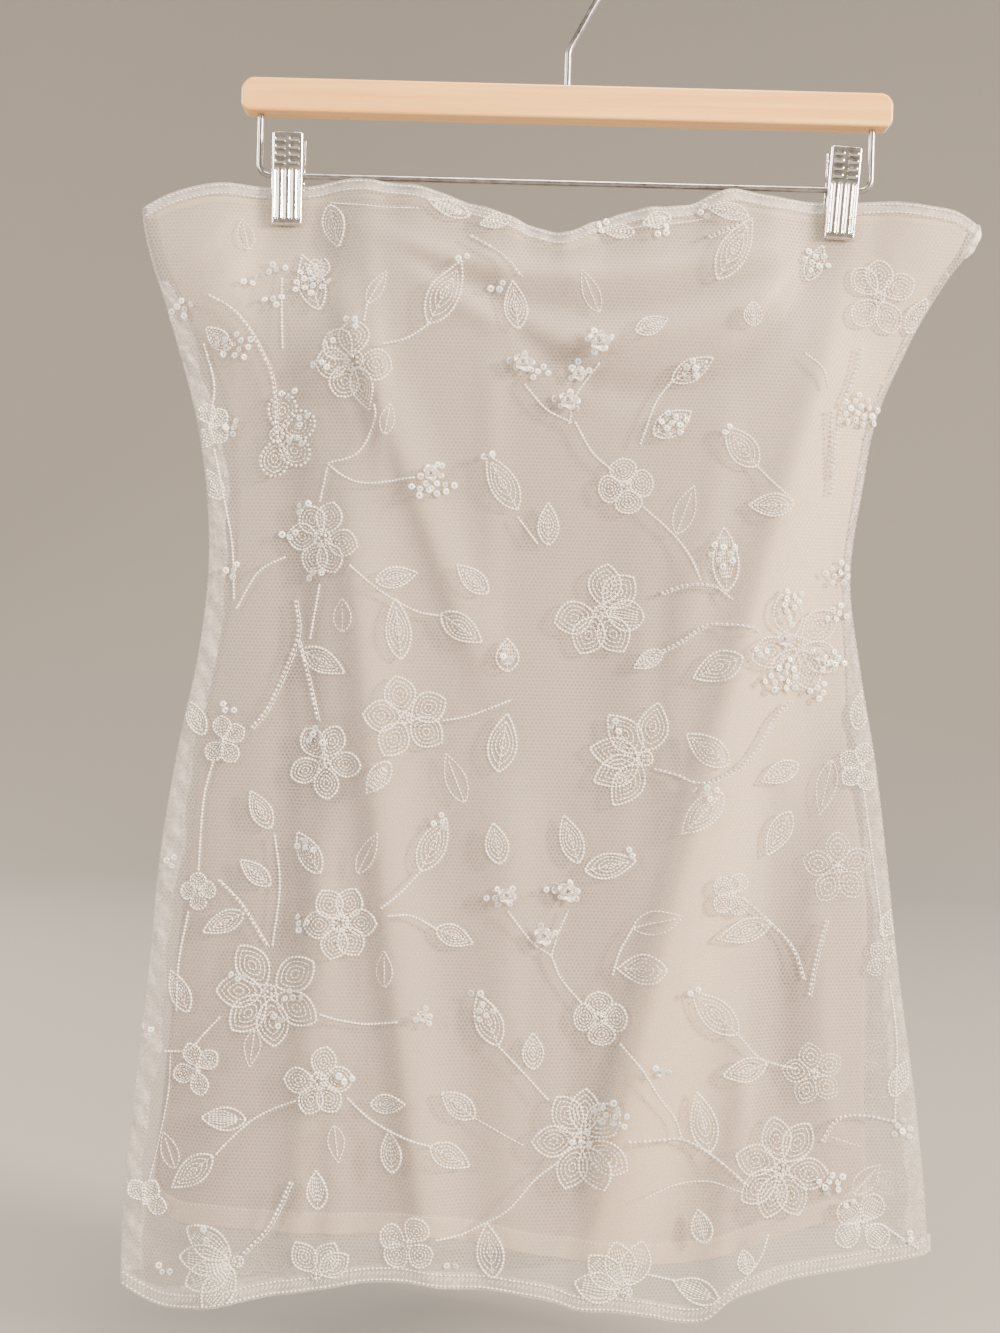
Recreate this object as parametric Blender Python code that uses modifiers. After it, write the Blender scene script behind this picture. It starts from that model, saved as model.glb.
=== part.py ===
"""Strapless mini dress of embroidered tulle over a plain lining, hung by two clips on a wooden hanger.

The row frame has its origin where a rail touches the underside of the hook's crown. +Z is up, and
the front of the dress faces -Y. Tables are in millimetres and are turned into metres as they are read.
"""

import math

import bmesh
import bpy
import numpy as np
from mathutils import Matrix

MM = 0.001
MERGE = 1e-6

# Wooden bar
BAR_LENGTH = 356 * MM
BAR_HEIGHT = 18.5 * MM
BAR_DEPTH = 13.7 * MM
BAR_TOP = -84 * MM
BAR_UPPER_CORNER = 7 * MM
BAR_LOWER_CORNER = 4.5 * MM
BAR_EASED_EDGE = 1.2 * MM
CORNER_STEPS = 5

# Steel wire of the hook and of the clip rail
WIRE_RADIUS = 1.7 * MM
WIRE_HOLE_CLEARANCE = 0.3 * MM
HOLE_SIDES = 16

# Hook
HOOK_INNER_RADIUS = 19 * MM
HOOK_LEAN = math.radians(28)
HOOK_END_ANGLE = math.radians(196)
HOOK_BEND_RADIUS = 12 * MM
HOOK_DEPTH_IN_BAR = 12 * MM
HOOK_LOOP_STEPS = 22
HOOK_BEND_STEPS = 5

# Clip rail, a wire bent down from the bar's underside
RAIL_HALF_SPAN = 168 * MM
RAIL_HEIGHT = -136 * MM
RAIL_BEND_RADIUS = 6 * MM
RAIL_BEND_STEPS = 5
RAIL_DEPTH_IN_BAR = 8 * MM

# Clips, two pressed steel halves on the rail, with soft pads in the jaws
CLIP_CENTRE = 152 * MM
CLIP_WIDTH = 17 * MM
CLIP_WALL = 1 * MM
CLIP_TOP = 22 * MM
CLIP_BOTTOM = -28 * MM
CLIP_OPEN_AT_TOP = 3.5 * MM
CLIP_FLANGE_AT_TOP = 3.2 * MM
CLIP_FLANGE_AT_RAIL = 2 * MM
CLIP_FLANGE_ROOT = 5 * MM
CLIP_FLANGE_HALF_REACH = 3 * MM
CLIP_JAW_FLANGE = 3 * MM
CLIP_TILT = {"left": 0.0, "right": math.radians(3)}
PAD_WIDTH = 14 * MM
PAD_THICKNESS = 1 * MM
PAD_HEIGHT = 7 * MM
GROOVE_SPACING = 3.9 * MM
GROOVE_WIDTH = 1.3 * MM
GROOVE_TOP = 2 * MM
GROOVE_BOTTOM = -25.5 * MM
GRIP_WIDTH = 5.2 * MM
GRIP_HEIGHT = 1.7 * MM
GRIP_HALF_SPACING = 3.8 * MM
GRIP_FIRST = 5.9 * MM
GRIP_STEP = 4 * MM
GRIP_ROWS = 4
PRESSED_DEPTH = 0.55 * MM
SPRING_LENGTH = 9 * MM
SPRING_INNER_RADIUS = WIRE_RADIUS + WIRE_HOLE_CLEARANCE
SPRING_OUTER_RADIUS = 3.3 * MM
SPRING_SIDES = 16

# Cloth walls and the gaps between them
SEAM_GAP = 0.3 * MM
HALF_SEAM = SEAM_GAP / 2
LAYER_GAP = 0.45 * MM
LINING_WALL = 1 * MM
TULLE_WALL = 1 * MM
HEM_BAND_WALL = 1 * MM
TULLE_FLOAT = 2.6 * MM
TULLE_FLOAT_AT_NECK = 1.2 * MM
TULLE_FLOAT_RAMP = 30 * MM
SLOPE_STEP = 1 * MM
TULLE_EDGE_RAMP = 3 * MM
LINING_BELOW_NECK = 3 * MM
LINING_HEM_BAND = 12 * MM
LENS_POWER = 3.0
JAW_REACH = RAIL_HEIGHT + CLIP_BOTTOM

# Sides of the tulle and of the lining, and how far the lining stands off the middle plane, by height
SIDE_COLUMNS = (
    "height", "tulle_left", "tulle_right", "lining_left", "lining_right", "front_depth", "back_depth",
)
SIDE_ROWS = (
    (-760, -229.0, 217.5, -213.0, 183.5, 14.5, 13.5),
    (-690, -228.0, 212.5, -211.0, 180.5, 14.5, 13.5),
    (-630, -223.0, 205.0, -206.5, 177.0, 14.0, 13.0),
    (-570, -217.5, 195.5, -202.0, 176.5, 13.5, 12.5),
    (-510, -213.0, 187.5, -197.0, 174.5, 13.0, 12.5),
    (-450, -204.5, 179.0, -192.0, 163.5, 12.5, 12.0),
    (-400, -195.0, 169.5, -183.0, 160.5, 12.0, 12.0),
    (-350, -190.5, 162.5, -176.5, 157.5, 12.0, 11.5),
    (-300, -194.0, 168.0, -176.0, 163.0, 13.5, 12.0),
    (-260, -202.0, 175.0, -182.5, 170.0, 15.0, 13.0),
    (-230, -211.0, 187.0, -197.0, 182.0, 16.0, 13.5),
    (-205, -219.0, 199.0, -210.0, 193.5, 15.5, 13.0),
    (-185, -226.0, 211.0, -219.5, 205.5, 13.5, 12.0),
    (-165, -231.0, 224.5, -225.0, 218.5, 11.0, 10.0),
    (-140, -232.5, 229.5, -227.0, 224.0, 9.5, 9.0),
)

# Neckline of the tulle, from the viewer's left to the right
NECK_COLUMNS = ("place", "front", "back")
NECK_ROWS = (
    (-232, -156.0, -156.0),
    (-218, -149.0, -150.0),
    (-203, -144.5, -146.0),
    (-187, -142.0, -143.5),
    (-165, -143.0, -143.0),
    (-140, -142.0, -144.0),
    (-120, -139.0, -148.0),
    (-99, -140.5, -153.0),
    (-77, -144.0, -158.0),
    (-55, -150.5, -163.0),
    (-33, -157.5, -167.0),
    (-12, -165.0, -169.5),
    (1, -167.0, -170.0),
    (14, -161.5, -170.0),
    (34, -154.5, -168.0),
    (55, -151.0, -164.0),
    (68, -149.0, -161.0),
    (80, -143.5, -158.0),
    (92, -140.5, -155.0),
    (110, -142.5, -150.0),
    (132, -143.5, -145.0),
    (152, -143.5, -143.5),
    (180, -142.5, -143.0),
    (199, -144.5, -145.0),
    (218, -148.0, -148.5),
    (229, -155.0, -155.0),
)

# Hem of the tulle, and of the lining under it
TULLE_HEM_COLUMNS = ("place", "front", "back")
TULLE_HEM_ROWS = (
    (-230, -746.0, -746.0),
    (-209, -756.0, -760.0),
    (-184, -755.0, -758.5),
    (-156, -748.5, -756.5),
    (-121, -741.0, -747.0),
    (-93, -735.0, -741.5),
    (-72, -733.5, -739.0),
    (-44, -737.0, -741.0),
    (-20, -738.0, -742.5),
    (4, -741.0, -740.5),
    (20, -745.5, -737.0),
    (43, -746.5, -731.0),
    (62, -750.0, -727.5),
    (75, -753.0, -727.5),
    (91, -751.0, -726.0),
    (103, -740.5, -721.0),
    (122, -733.5, -715.0),
    (153, -728.0, -711.5),
    (185, -724.0, -713.0),
    (218, -718.0, -718.0),
)
LINING_HEM_COLUMNS = ("place", "front", "back")
LINING_HEM_ROWS = (
    (-212, -697.0, -697.0),
    (-207, -705.5, -703.0),
    (-199, -710.5, -707.0),
    (-180, -712.0, -709.0),
    (-130, -712.5, -708.0),
    (-90, -711.5, -706.0),
    (-50, -711.5, -707.0),
    (-20, -716.0, -710.0),
    (0, -720.5, -712.0),
    (24, -722.5, -712.0),
    (64, -723.5, -710.0),
    (88, -721.5, -708.0),
    (114, -715.0, -704.0),
    (146, -704.5, -698.0),
    (172, -696.0, -692.0),
    (181, -689.0, -689.0),
)

# Folds that run down the cloth. A fold's middle goes from one end to the other, bowed sideways.
DROP_COLUMNS = ("face", "from_x", "from_z", "to_x", "to_z", "bow", "width", "height")
DROP_FOLDS = (
    ("front", -88, -235, -58, -735, -6, 15, 5.5),
    ("front", 168, -160, 70, -575, 22, 17, 7.0),
    ("front", 160, -345, 84, -700, 10, 12, 5.0),
    ("front", -163, -150, -200, -225, 6, 9, 3.5),
    ("front", -150, -165, -148, -640, 9, 10, -3.5),
    ("front", -120, -470, -132, -735, 0, 9, 3.0),
    ("front", 30, -300, 22, -735, -5, 20, -3.0),
    ("front", 120, -420, 150, -700, -8, 13, -3.5),
    ("front", -25, -430, -20, -735, 4, 16, 3.0),
    ("front", 140, -152, 70, -245, 8, 8, 3.5),
    ("front", -136, -152, -80, -235, -7, 8, 3.0),
    ("back", 96, -230, 70, -730, 5, 16, 5.5),
    ("back", -150, -160, -78, -560, -20, 16, 6.0),
    ("back", -150, -350, -96, -700, -8, 12, 4.5),
    ("back", 152, -160, 150, -630, -8, 10, -3.5),
    ("back", 18, -290, 28, -735, 6, 18, 3.5),
    ("back", -40, -300, -34, -735, -4, 15, -3.0),
    ("back", 128, -420, 136, -720, 3, 10, 3.0),
    ("back", -136, -152, -76, -240, -7, 8, 3.0),
    ("back", 138, -152, 78, -240, 7, 8, 3.0),
)

# Folds that hang in a curve between the clips. The sag is at the middle.
SWAG_COLUMNS = ("face", "from_x", "to_x", "end_z", "sag_z", "width", "height")
SWAG_FOLDS = (
    ("front", -142, 140, -158, -190, 6, 2.4),
    ("front", -134, 142, -166, -209, 7, -2.6),
    ("front", -128, 140, -172, -226, 8, 2.8),
    ("front", -60, 146, -178, -252, 9, -2.4),
    ("back", -140, 140, -160, -196, 7, 2.4),
    ("back", -134, 134, -168, -214, 8, -2.4),
    ("back", -126, 130, -176, -232, 9, 2.6),
)

# Small waves gathered into the neckline between the clips
NECK_RUFFLE = 2.2 * MM
NECK_RUFFLE_LENGTH = 41 * MM
NECK_RUFFLE_REACH = 20 * MM
NECK_RUFFLE_HALF_SPAN = 118 * MM

# Waves of the tulle's hem, outwards from its smooth run
HEM_WAVE = 7 * MM
HEM_WAVE_START = -560 * MM
HEM_WAVE_FULL = -740 * MM
HEM_WAVE_LENGTHS = (96 * MM, 57 * MM)
HEM_WAVE_PHASE = {"front": (0.6, 2.1), "back": (2.9, 0.4)}

# How far the jaws' grip reaches into the loose cloth
GRIP_HALF_WIDTH = 14.5 * MM
GRIP_BELOW = 7 * MM
GRIP_FADE_ACROSS = 20 * MM
GRIP_FADE_DOWN = 38 * MM

# Grid lines of the panels: places on the neckline, with the steps up to the next, and shares of the drop
TULLE_STOPS = (
    (-232.5, 1), (-229.5, 1), (-225.5, 5), (-163, 2), (-141, 25), (141, 2), (163, 5), (222.5, 1), (226.5, 1),
)
LINING_STOPS = ((-227, 5), (-163, 2), (-141, 20), (141, 2), (163, 4))
TULLE_DROPS = (
    0, 0.012, 0.027, 0.045, 0.066, 0.09, 0.118, 0.15, 0.19, 0.235, 0.285, 0.34, 0.395, 0.45, 0.505,
    0.56, 0.615, 0.67, 0.725, 0.78, 0.835, 0.89, 0.94, 0.975, 1,
)
LINING_DROPS = (
    0, 0.012, 0.028, 0.048, 0.072, 0.1, 0.133, 0.175, 0.225, 0.29, 0.365, 0.44, 0.52, 0.6, 0.68,
    0.76, 0.84, 0.91,
)
EDGE_SOLVES = 6

COLOURS = {
    "tulle": ((0.90, 0.87, 0.84), 0.55, 0.0),
    "lining": ((0.88, 0.82, 0.78), 0.45, 0.0),
    "beech": ((0.86, 0.66, 0.42), 0.5, 0.0),
    "steel": ((0.72, 0.72, 0.74), 0.22, 1.0),
    "pad": ((0.85, 0.85, 0.84), 0.6, 0.0),
}


def clear_scene():
    for item in list(bpy.data.objects):
        bpy.data.objects.remove(item)


def material(name):
    """The Principled material of that name, made once."""
    found = bpy.data.materials.get(name)
    if found is not None:
        return found
    colour, roughness, metallic = COLOURS[name]
    made = bpy.data.materials.new(name)
    made.use_nodes = True
    shader = made.node_tree.nodes["Principled BSDF"]
    shader.inputs["Base Color"].default_value = (*colour, 1.0)
    shader.inputs["Roughness"].default_value = roughness
    shader.inputs["Metallic"].default_value = metallic
    return made


def table(columns, rows):
    """A table's numeric columns as metres, in the order of its first column."""
    ordered = np.array(sorted(rows), float) * MM
    return {name: ordered[:, i] for i, name in enumerate(columns)}


SIDES = table(SIDE_COLUMNS, SIDE_ROWS)
NECK = table(NECK_COLUMNS, NECK_ROWS)
TULLE_HEM = table(TULLE_HEM_COLUMNS, TULLE_HEM_ROWS)
LINING_HEM = table(LINING_HEM_COLUMNS, LINING_HEM_ROWS)


def smooth_through(places, values, at):
    """Values on the cubic curve through a table's points, each point's slope taken from its neighbours."""
    slopes = np.gradient(values, places)
    at = np.clip(at, places[0], places[-1])
    left = np.clip(np.searchsorted(places, at) - 1, 0, len(places) - 2)
    span = places[left + 1] - places[left]
    t = (at - places[left]) / span
    rise = values[left + 1] - values[left]
    start = slopes[left] * span
    end = slopes[left + 1] * span
    return values[left] + t * (start + t * ((3 * rise - 2 * start - end) + t * (start + end - 2 * rise)))


def step(t):
    """0 below 0, 1 above 1, and an even S between."""
    t = np.clip(t, 0, 1)
    return t * t * (3 - 2 * t)


def side(name, z):
    return smooth_through(SIDES["height"], SIDES[name], z)


def place_across(layer, across, z):
    """The x of a share across a layer, 0 at the viewer's left side seam and 1 at the right."""
    left = side(layer + "_left", z)
    right = side(layer + "_right", z)
    return left + (right - left) * across


def neck_height(layer, face, x):
    drop = LINING_BELOW_NECK if layer == "lining" else 0
    return smooth_through(NECK["place"], NECK[face], x) - drop


def hem_height(layer, face, x):
    hem = TULLE_HEM if layer == "tulle" else LINING_HEM
    return smooth_through(hem["place"], hem[face], x)


def jaw_grip(x, z):
    """1 where a clip's jaws press the cloth flat, fading to 0 round them."""
    aside = np.maximum(np.abs(np.abs(x) - CLIP_CENTRE) - GRIP_HALF_WIDTH, 0)
    below = np.maximum(JAW_REACH - GRIP_BELOW - z, 0)
    return np.exp(-((aside / GRIP_FADE_ACROSS) ** 2) - (below / GRIP_FADE_DOWN) ** 2)


def drop_fold(fold, x, z):
    """A ridge, or a trough if its height is negative, bell-shaped across its bowed middle line."""
    _, from_x, from_z, to_x, to_z, bow, width, height = fold
    run = np.clip((from_z * MM - z) / ((from_z - to_z) * MM), 0, 1)
    middle = (from_x + (to_x - from_x) * run + 4 * bow * run * (1 - run)) * MM
    ends = step(run / 0.22) * step((1 - run) / 0.12 + (0.4 if to_z < -700 else 0))
    return height * MM * np.exp(-(((x - middle) / (width * MM)) ** 2)) * ends


def swag_fold(fold, x, z):
    """A ridge or trough along a parabola that hangs from its two ends."""
    _, from_x, to_x, end_z, sag_z, width, height = fold
    run = np.clip((x / MM - from_x) / (to_x - from_x), 0, 1)
    middle = (end_z + (sag_z - end_z) * 4 * run * (1 - run)) * MM
    ends = step(run / 0.2) * step((1 - run) / 0.2)
    return height * MM * np.exp(-(((z - middle) / (width * MM)) ** 2)) * ends


def ruffles(face, x, z):
    """Gathers at the neckline, which die out a little below it."""
    below = neck_height("tulle", face, x) - z
    phase = 0.7 if face == "front" else 2.2
    wave = np.sin(2 * math.pi * x / NECK_RUFFLE_LENGTH + phase)
    span = step((NECK_RUFFLE_HALF_SPAN - np.abs(x)) / (20 * MM))
    return NECK_RUFFLE * wave * span * np.exp(-np.maximum(below, 0) / NECK_RUFFLE_REACH)


def folds(face, x, z):
    total = ruffles(face, x, z)
    for fold in DROP_FOLDS:
        if fold[0] == face:
            total = total + drop_fold(fold, x, z)
    for fold in SWAG_FOLDS:
        if fold[0] == face:
            total = total + swag_fold(fold, x, z)
    return total


def lining_depth(face, x, z):
    """How far the lining's inner side stands off the middle plane: a lens between the seams, with folds."""
    left = side("lining_left", z)
    right = side("lining_right", z)
    share = np.clip(np.abs((2 * x - left - right) / (right - left)), 0, 1)
    lens = side(face + "_depth", z) * (1 - share**LENS_POWER)
    loose = lens + folds(face, x, z) * (1 - share**4)
    return HALF_SEAM + (1 - jaw_grip(x, z)) * np.maximum(loose, 0)


def slope_stretch(face, x, z):
    """How much more the lining's wall takes along Y on its slopes, with something over for the coarse grid."""
    d = SLOPE_STEP
    across = (lining_depth(face, x + d, z) - lining_depth(face, x - d, z)) / (2 * d)
    down = (lining_depth(face, x, z + d) - lining_depth(face, x, z - d)) / (2 * d)
    return 1 + across**2 + down**2


def hem_waves(face, x, z):
    """The tulle's hem flutters outwards, most at the edge."""
    reach = step((HEM_WAVE_START - z) / (HEM_WAVE_START - HEM_WAVE_FULL))
    long_wave, short_wave = HEM_WAVE_LENGTHS
    first, second = HEM_WAVE_PHASE[face]
    turn = 2 * math.pi * x
    wave = 0.65 * np.sin(turn / long_wave + first) + 0.35 * np.sin(turn / short_wave + second)
    return HEM_WAVE * reach * (1 + wave) / 2


def tulle_depth(face, x, z):
    """How far the tulle's inner side stands off the middle plane: over the lining, in to its own seams."""
    left = side("tulle_left", z)
    right = side("tulle_right", z)
    share = np.clip(np.abs((2 * x - left - right) / (right - left)), 0, 1)
    loose = 1 - jaw_grip(x, z)
    below = neck_height("tulle", face, x) - z
    more = (TULLE_FLOAT - TULLE_FLOAT_AT_NECK) * step(below / TULLE_FLOAT_RAMP)
    air = TULLE_FLOAT_AT_NECK + more + hem_waves(face, x, z)
    lining = lining_depth(face, x, z) + (LINING_WALL + LAYER_GAP) * slope_stretch(face, x, z)
    over = lining + air * loose * (1 - share**6)
    edge = step(np.minimum(x - left, right - x) / TULLE_EDGE_RAMP)
    return HALF_SEAM + (over - HALF_SEAM) * edge


def shares_across(layer, stops):
    """Shares across a layer at the neckline for its grid's columns."""
    places = [stops[0][0]]
    ends = [place for place, _ in stops[1:]]
    ends.append(float(side(layer + "_right", -140 * MM) / MM))
    for (start, count), end in zip(stops, ends):
        places += [start + (end - start) * (i + 1) / count for i in range(count)]
    places = np.array(places)
    return (places - places[0]) / (places[-1] - places[0])


def edge_line(layer, face, across, height_at, start):
    """The heights of a curved edge at each share across, found by going to and fro between x and z."""
    z = np.full(len(across), start)
    for _ in range(EDGE_SOLVES):
        z = height_at(layer, face, place_across(layer, across, z))
    return z


def panel_points(layer, face, across, drops):
    """The grid of x, depth and z of a panel's inner surface, one row for each share of the drop."""
    neck = edge_line(layer, face, across, neck_height, -150 * MM)
    hem = edge_line(layer, face, across, hem_height, -720 * MM)
    rows = [neck + (hem - neck) * drop for drop in drops]
    if layer == "lining":
        rows += [hem + LINING_HEM_BAND, hem]
    z = np.array(rows)
    x = place_across(layer, across[None, :], z)
    depth = tulle_depth(face, x, z) if layer == "tulle" else lining_depth(face, x, z)
    return x, depth, z


def in_collection(item, collection):
    collection.objects.link(item)
    return item


def cloth_wall(name, finish, face, x, depth, z, wall, collection):
    """A sheet on a grid of points, given its wall by Solidify on the outer side."""
    rows, columns = x.shape
    forward = -1 if face == "front" else 1
    points = np.stack([x, forward * depth, z], axis=-1).reshape(-1, 3)
    first = (np.arange(rows - 1)[:, None] * columns + np.arange(columns - 1)[None, :]).ravel()
    quads = np.stack([first, first + columns, first + columns + 1, first + 1], axis=1)
    if face == "back":
        quads = quads[:, ::-1]
    mesh = bpy.data.meshes.new(name)
    mesh.from_pydata(points.tolist(), [], quads.tolist())
    mesh.materials.append(material(finish))
    mesh.shade_smooth()
    panel = in_collection(bpy.data.objects.new(name, mesh), collection)
    solid = panel.modifiers.new("wall", "SOLIDIFY")
    solid.thickness = wall
    solid.offset = 1
    return panel


def cloth_panels(collection):
    """Front and back of the tulle and of the lining, and the lining's turned-up hems."""
    tulle_across = shares_across("tulle", TULLE_STOPS)
    lining_across = shares_across("lining", LINING_STOPS)
    for face in ("front", "back"):
        x, depth, z = panel_points("tulle", face, tulle_across, TULLE_DROPS)
        cloth_wall("tulle_" + face, "tulle", face, x, depth, z, TULLE_WALL, collection)
        x, depth, z = panel_points("lining", face, lining_across, LINING_DROPS)
        cloth_wall("lining_" + face, "lining", face, x, depth, z, LINING_WALL, collection)
        hem = slice(2, -2)
        inset = depth[-2:, hem] - SEAM_GAP - HEM_BAND_WALL
        lift = np.array([[0.0], [1.0]]) * SEAM_GAP
        name = "lining_hem_" + face
        cloth_wall(name, "lining", face, x[-2:, hem], inset, z[-2:, hem] + lift, HEM_BAND_WALL, collection)


def finished(name, mesh, finish, collection):
    """An object with its material, shaded smooth but for its sharp edges."""
    mesh.materials.clear()
    mesh.materials.append(material(finish))
    mesh.shade_smooth()
    mesh.set_sharp_from_angle(angle=math.radians(35))
    return in_collection(bpy.data.objects.new(name, mesh), collection)


def mesh_of(item):
    """The item's evaluated mesh, with its loose caps welded. The item is removed."""
    bpy.context.view_layer.update()
    graph = bpy.context.evaluated_depsgraph_get()
    mesh = bpy.data.meshes.new_from_object(item.evaluated_get(graph))
    mesh.transform(item.matrix_world)
    work = bmesh.new()
    work.from_mesh(mesh)
    bmesh.ops.remove_doubles(work, verts=work.verts, dist=MERGE)
    bmesh.ops.recalc_face_normals(work, faces=work.faces)
    work.to_mesh(mesh)
    work.free()
    bpy.data.objects.remove(item)
    return mesh


def flat_outline(name, points, thickness, turn):
    """A mesh of a closed outline in a plane, extruded to its thickness and turned into place."""
    curve = bpy.data.curves.new(name, "CURVE")
    curve.dimensions = "2D"
    curve.fill_mode = "BOTH"
    curve.extrude = thickness / 2
    spline = curve.splines.new("POLY")
    spline.points.add(len(points) - 1)
    for point, (u, v) in zip(spline.points, points):
        point.co = (u, v, 0, 1)
    spline.use_cyclic_u = True
    item = in_collection(bpy.data.objects.new(name, curve), bpy.context.scene.collection)
    item.matrix_world = turn
    return mesh_of(item)


def arc(centre, radius, start, end, steps):
    """Points on an arc, both ends included."""
    angles = [start + (end - start) * i / steps for i in range(steps + 1)]
    return [(centre[0] + radius * math.cos(a), centre[1] + radius * math.sin(a)) for a in angles]


def wire(name, points, collection):
    """A round wire along points in the XZ plane, with filled ends."""
    curve = bpy.data.curves.new(name, "CURVE")
    curve.dimensions = "3D"
    curve.bevel_depth = WIRE_RADIUS
    curve.bevel_resolution = 2
    curve.use_fill_caps = True
    spline = curve.splines.new("POLY")
    spline.points.add(len(points) - 1)
    for point, (x, z) in zip(spline.points, points):
        point.co = (x, 0, z, 1)
    item = in_collection(bpy.data.objects.new(name, curve), bpy.context.scene.collection)
    return finished(name, mesh_of(item), "steel", collection)


def box_into(work, low, high):
    """Adds a box between two corners to a bmesh."""
    middle = [(a + b) / 2 for a, b in zip(low, high)]
    size = [b - a for a, b in zip(low, high)]
    place = Matrix.Translation(middle) @ Matrix.Diagonal((*size, 1))
    bmesh.ops.create_cube(work, size=1, matrix=place)


def helper(name, work, cutters):
    """A hidden object for a Boolean."""
    mesh = bpy.data.meshes.new(name)
    work.to_mesh(mesh)
    work.free()
    item = in_collection(bpy.data.objects.new(name, mesh), cutters)
    item.hide_render = True
    item.display_type = "WIRE"
    return item


def combine(item, other, operation):
    """Cuts or joins another object with a Boolean that stays on the item."""
    change = item.modifiers.new(operation.lower(), "BOOLEAN")
    change.operation = operation
    change.object = other
    change.solver = "EXACT"


def wooden_bar(collection, cutters):
    """Beech bar with rounded ends, drilled for the hook and for the rail's two legs."""
    half = BAR_LENGTH / 2
    bottom = BAR_TOP - BAR_HEIGHT
    quarter = math.pi / 2
    upper = BAR_UPPER_CORNER
    lower = BAR_LOWER_CORNER
    outline = []
    for centre, radius, start in (
        ((half - upper, BAR_TOP - upper), upper, 0),
        ((upper - half, BAR_TOP - upper), upper, quarter),
        ((lower - half, bottom + lower), lower, 2 * quarter),
        ((half - lower, bottom + lower), lower, 3 * quarter),
    ):
        outline += arc(centre, radius, start, start + quarter, CORNER_STEPS)
    upright = Matrix.Rotation(math.pi / 2, 4, "X")
    shape = flat_outline("bar_outline", outline, BAR_DEPTH, upright)
    bar = finished("hanger_bar", shape, "beech", collection)
    eased = bar.modifiers.new("eased edges", "BEVEL")
    eased.width = BAR_EASED_EDGE
    eased.segments = 2
    eased.limit_method = "ANGLE"
    eased.angle_limit = math.radians(60)
    holes = bmesh.new()
    radius = WIRE_RADIUS + WIRE_HOLE_CLEARANCE
    over = 5 * MM
    for x, depth, edge, way in (
        (0, HOOK_DEPTH_IN_BAR, BAR_TOP, -1),
        (-RAIL_HALF_SPAN, RAIL_DEPTH_IN_BAR, bottom, 1),
        (RAIL_HALF_SPAN, RAIL_DEPTH_IN_BAR, bottom, 1),
    ):
        length = depth + SEAM_GAP + over
        middle = edge + way * (depth + SEAM_GAP - over) / 2
        place = Matrix.Translation((x, 0, middle))
        bmesh.ops.create_cone(
            holes,
            cap_ends=True,
            segments=HOLE_SIDES,
            radius1=radius,
            radius2=radius,
            depth=length,
            matrix=place,
        )
    combine(bar, helper("wire_holes", holes, cutters), "DIFFERENCE")


def hook(collection):
    """Wire hook: up from the bar, leaning out to the viewer's right, and over the rail in a round crook."""
    radius = HOOK_INNER_RADIUS + WIRE_RADIUS
    centre = (0, -HOOK_INNER_RADIUS)
    touch = (centre[0] + radius * math.cos(HOOK_LEAN), centre[1] - radius * math.sin(HOOK_LEAN))
    bend_height = touch[1] - touch[0] / math.tan(HOOK_LEAN)
    bend_start = bend_height - HOOK_BEND_RADIUS * math.tan(HOOK_LEAN / 2)
    bend_centre = (HOOK_BEND_RADIUS, bend_start)
    points = [(0, BAR_TOP - HOOK_DEPTH_IN_BAR), (0, BAR_TOP)]
    points += arc(bend_centre, HOOK_BEND_RADIUS, math.pi, math.pi - HOOK_LEAN, HOOK_BEND_STEPS)
    points += arc(centre, radius, -HOOK_LEAN, HOOK_END_ANGLE, HOOK_LOOP_STEPS)
    wire("hanger_hook", points, collection)


def clip_rail(collection):
    """Wire rail for the clips, with its two legs let into the bar."""
    bend = RAIL_BEND_RADIUS
    top = BAR_TOP - BAR_HEIGHT + RAIL_DEPTH_IN_BAR
    left = (bend - RAIL_HALF_SPAN, RAIL_HEIGHT + bend)
    right = (RAIL_HALF_SPAN - bend, RAIL_HEIGHT + bend)
    points = [(-RAIL_HALF_SPAN, top)]
    points += arc(left, bend, math.pi, 1.5 * math.pi, RAIL_BEND_STEPS)
    points += arc(right, bend, 1.5 * math.pi, 2 * math.pi, RAIL_BEND_STEPS)
    points.append((RAIL_HALF_SPAN, top))
    wire("clip_rail", points, collection)


def pad_face():
    """How far a pad's inner face stands off the middle plane, over half of the gripped cloth."""
    return HALF_SEAM + LINING_WALL + LAYER_GAP + TULLE_WALL + SEAM_GAP


def jaw_face():
    """How far a clip half's outer face stands off the middle plane at the jaw."""
    return pad_face() + PAD_THICKNESS + SEAM_GAP + CLIP_WALL


def clip_flange(name, x):
    """One side of a clip half: deep at the rail, which it bears on, and shallow at both ends."""
    jaw = jaw_face()
    top = jaw + CLIP_OPEN_AT_TOP
    outline = [
        (top, CLIP_TOP),
        (jaw, CLIP_BOTTOM),
        (CLIP_JAW_FLANGE, CLIP_BOTTOM),
        (CLIP_JAW_FLANGE, -CLIP_FLANGE_ROOT),
        (CLIP_FLANGE_AT_RAIL, -CLIP_FLANGE_HALF_REACH),
        (CLIP_FLANGE_AT_RAIL, CLIP_FLANGE_HALF_REACH),
        (top - CLIP_FLANGE_AT_TOP, CLIP_FLANGE_ROOT + CLIP_FLANGE_HALF_REACH),
        (top - CLIP_FLANGE_AT_TOP, CLIP_TOP),
    ]
    # The outline's first axis becomes -Y, its second +Z, and its thickness lies along X.
    turn = Matrix(((0, 0, 1, x), (-1, 0, 0, 0), (0, 1, 0, 0), (0, 0, 0, 1)))
    return flat_outline(name, outline, CLIP_WALL, turn)


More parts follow.
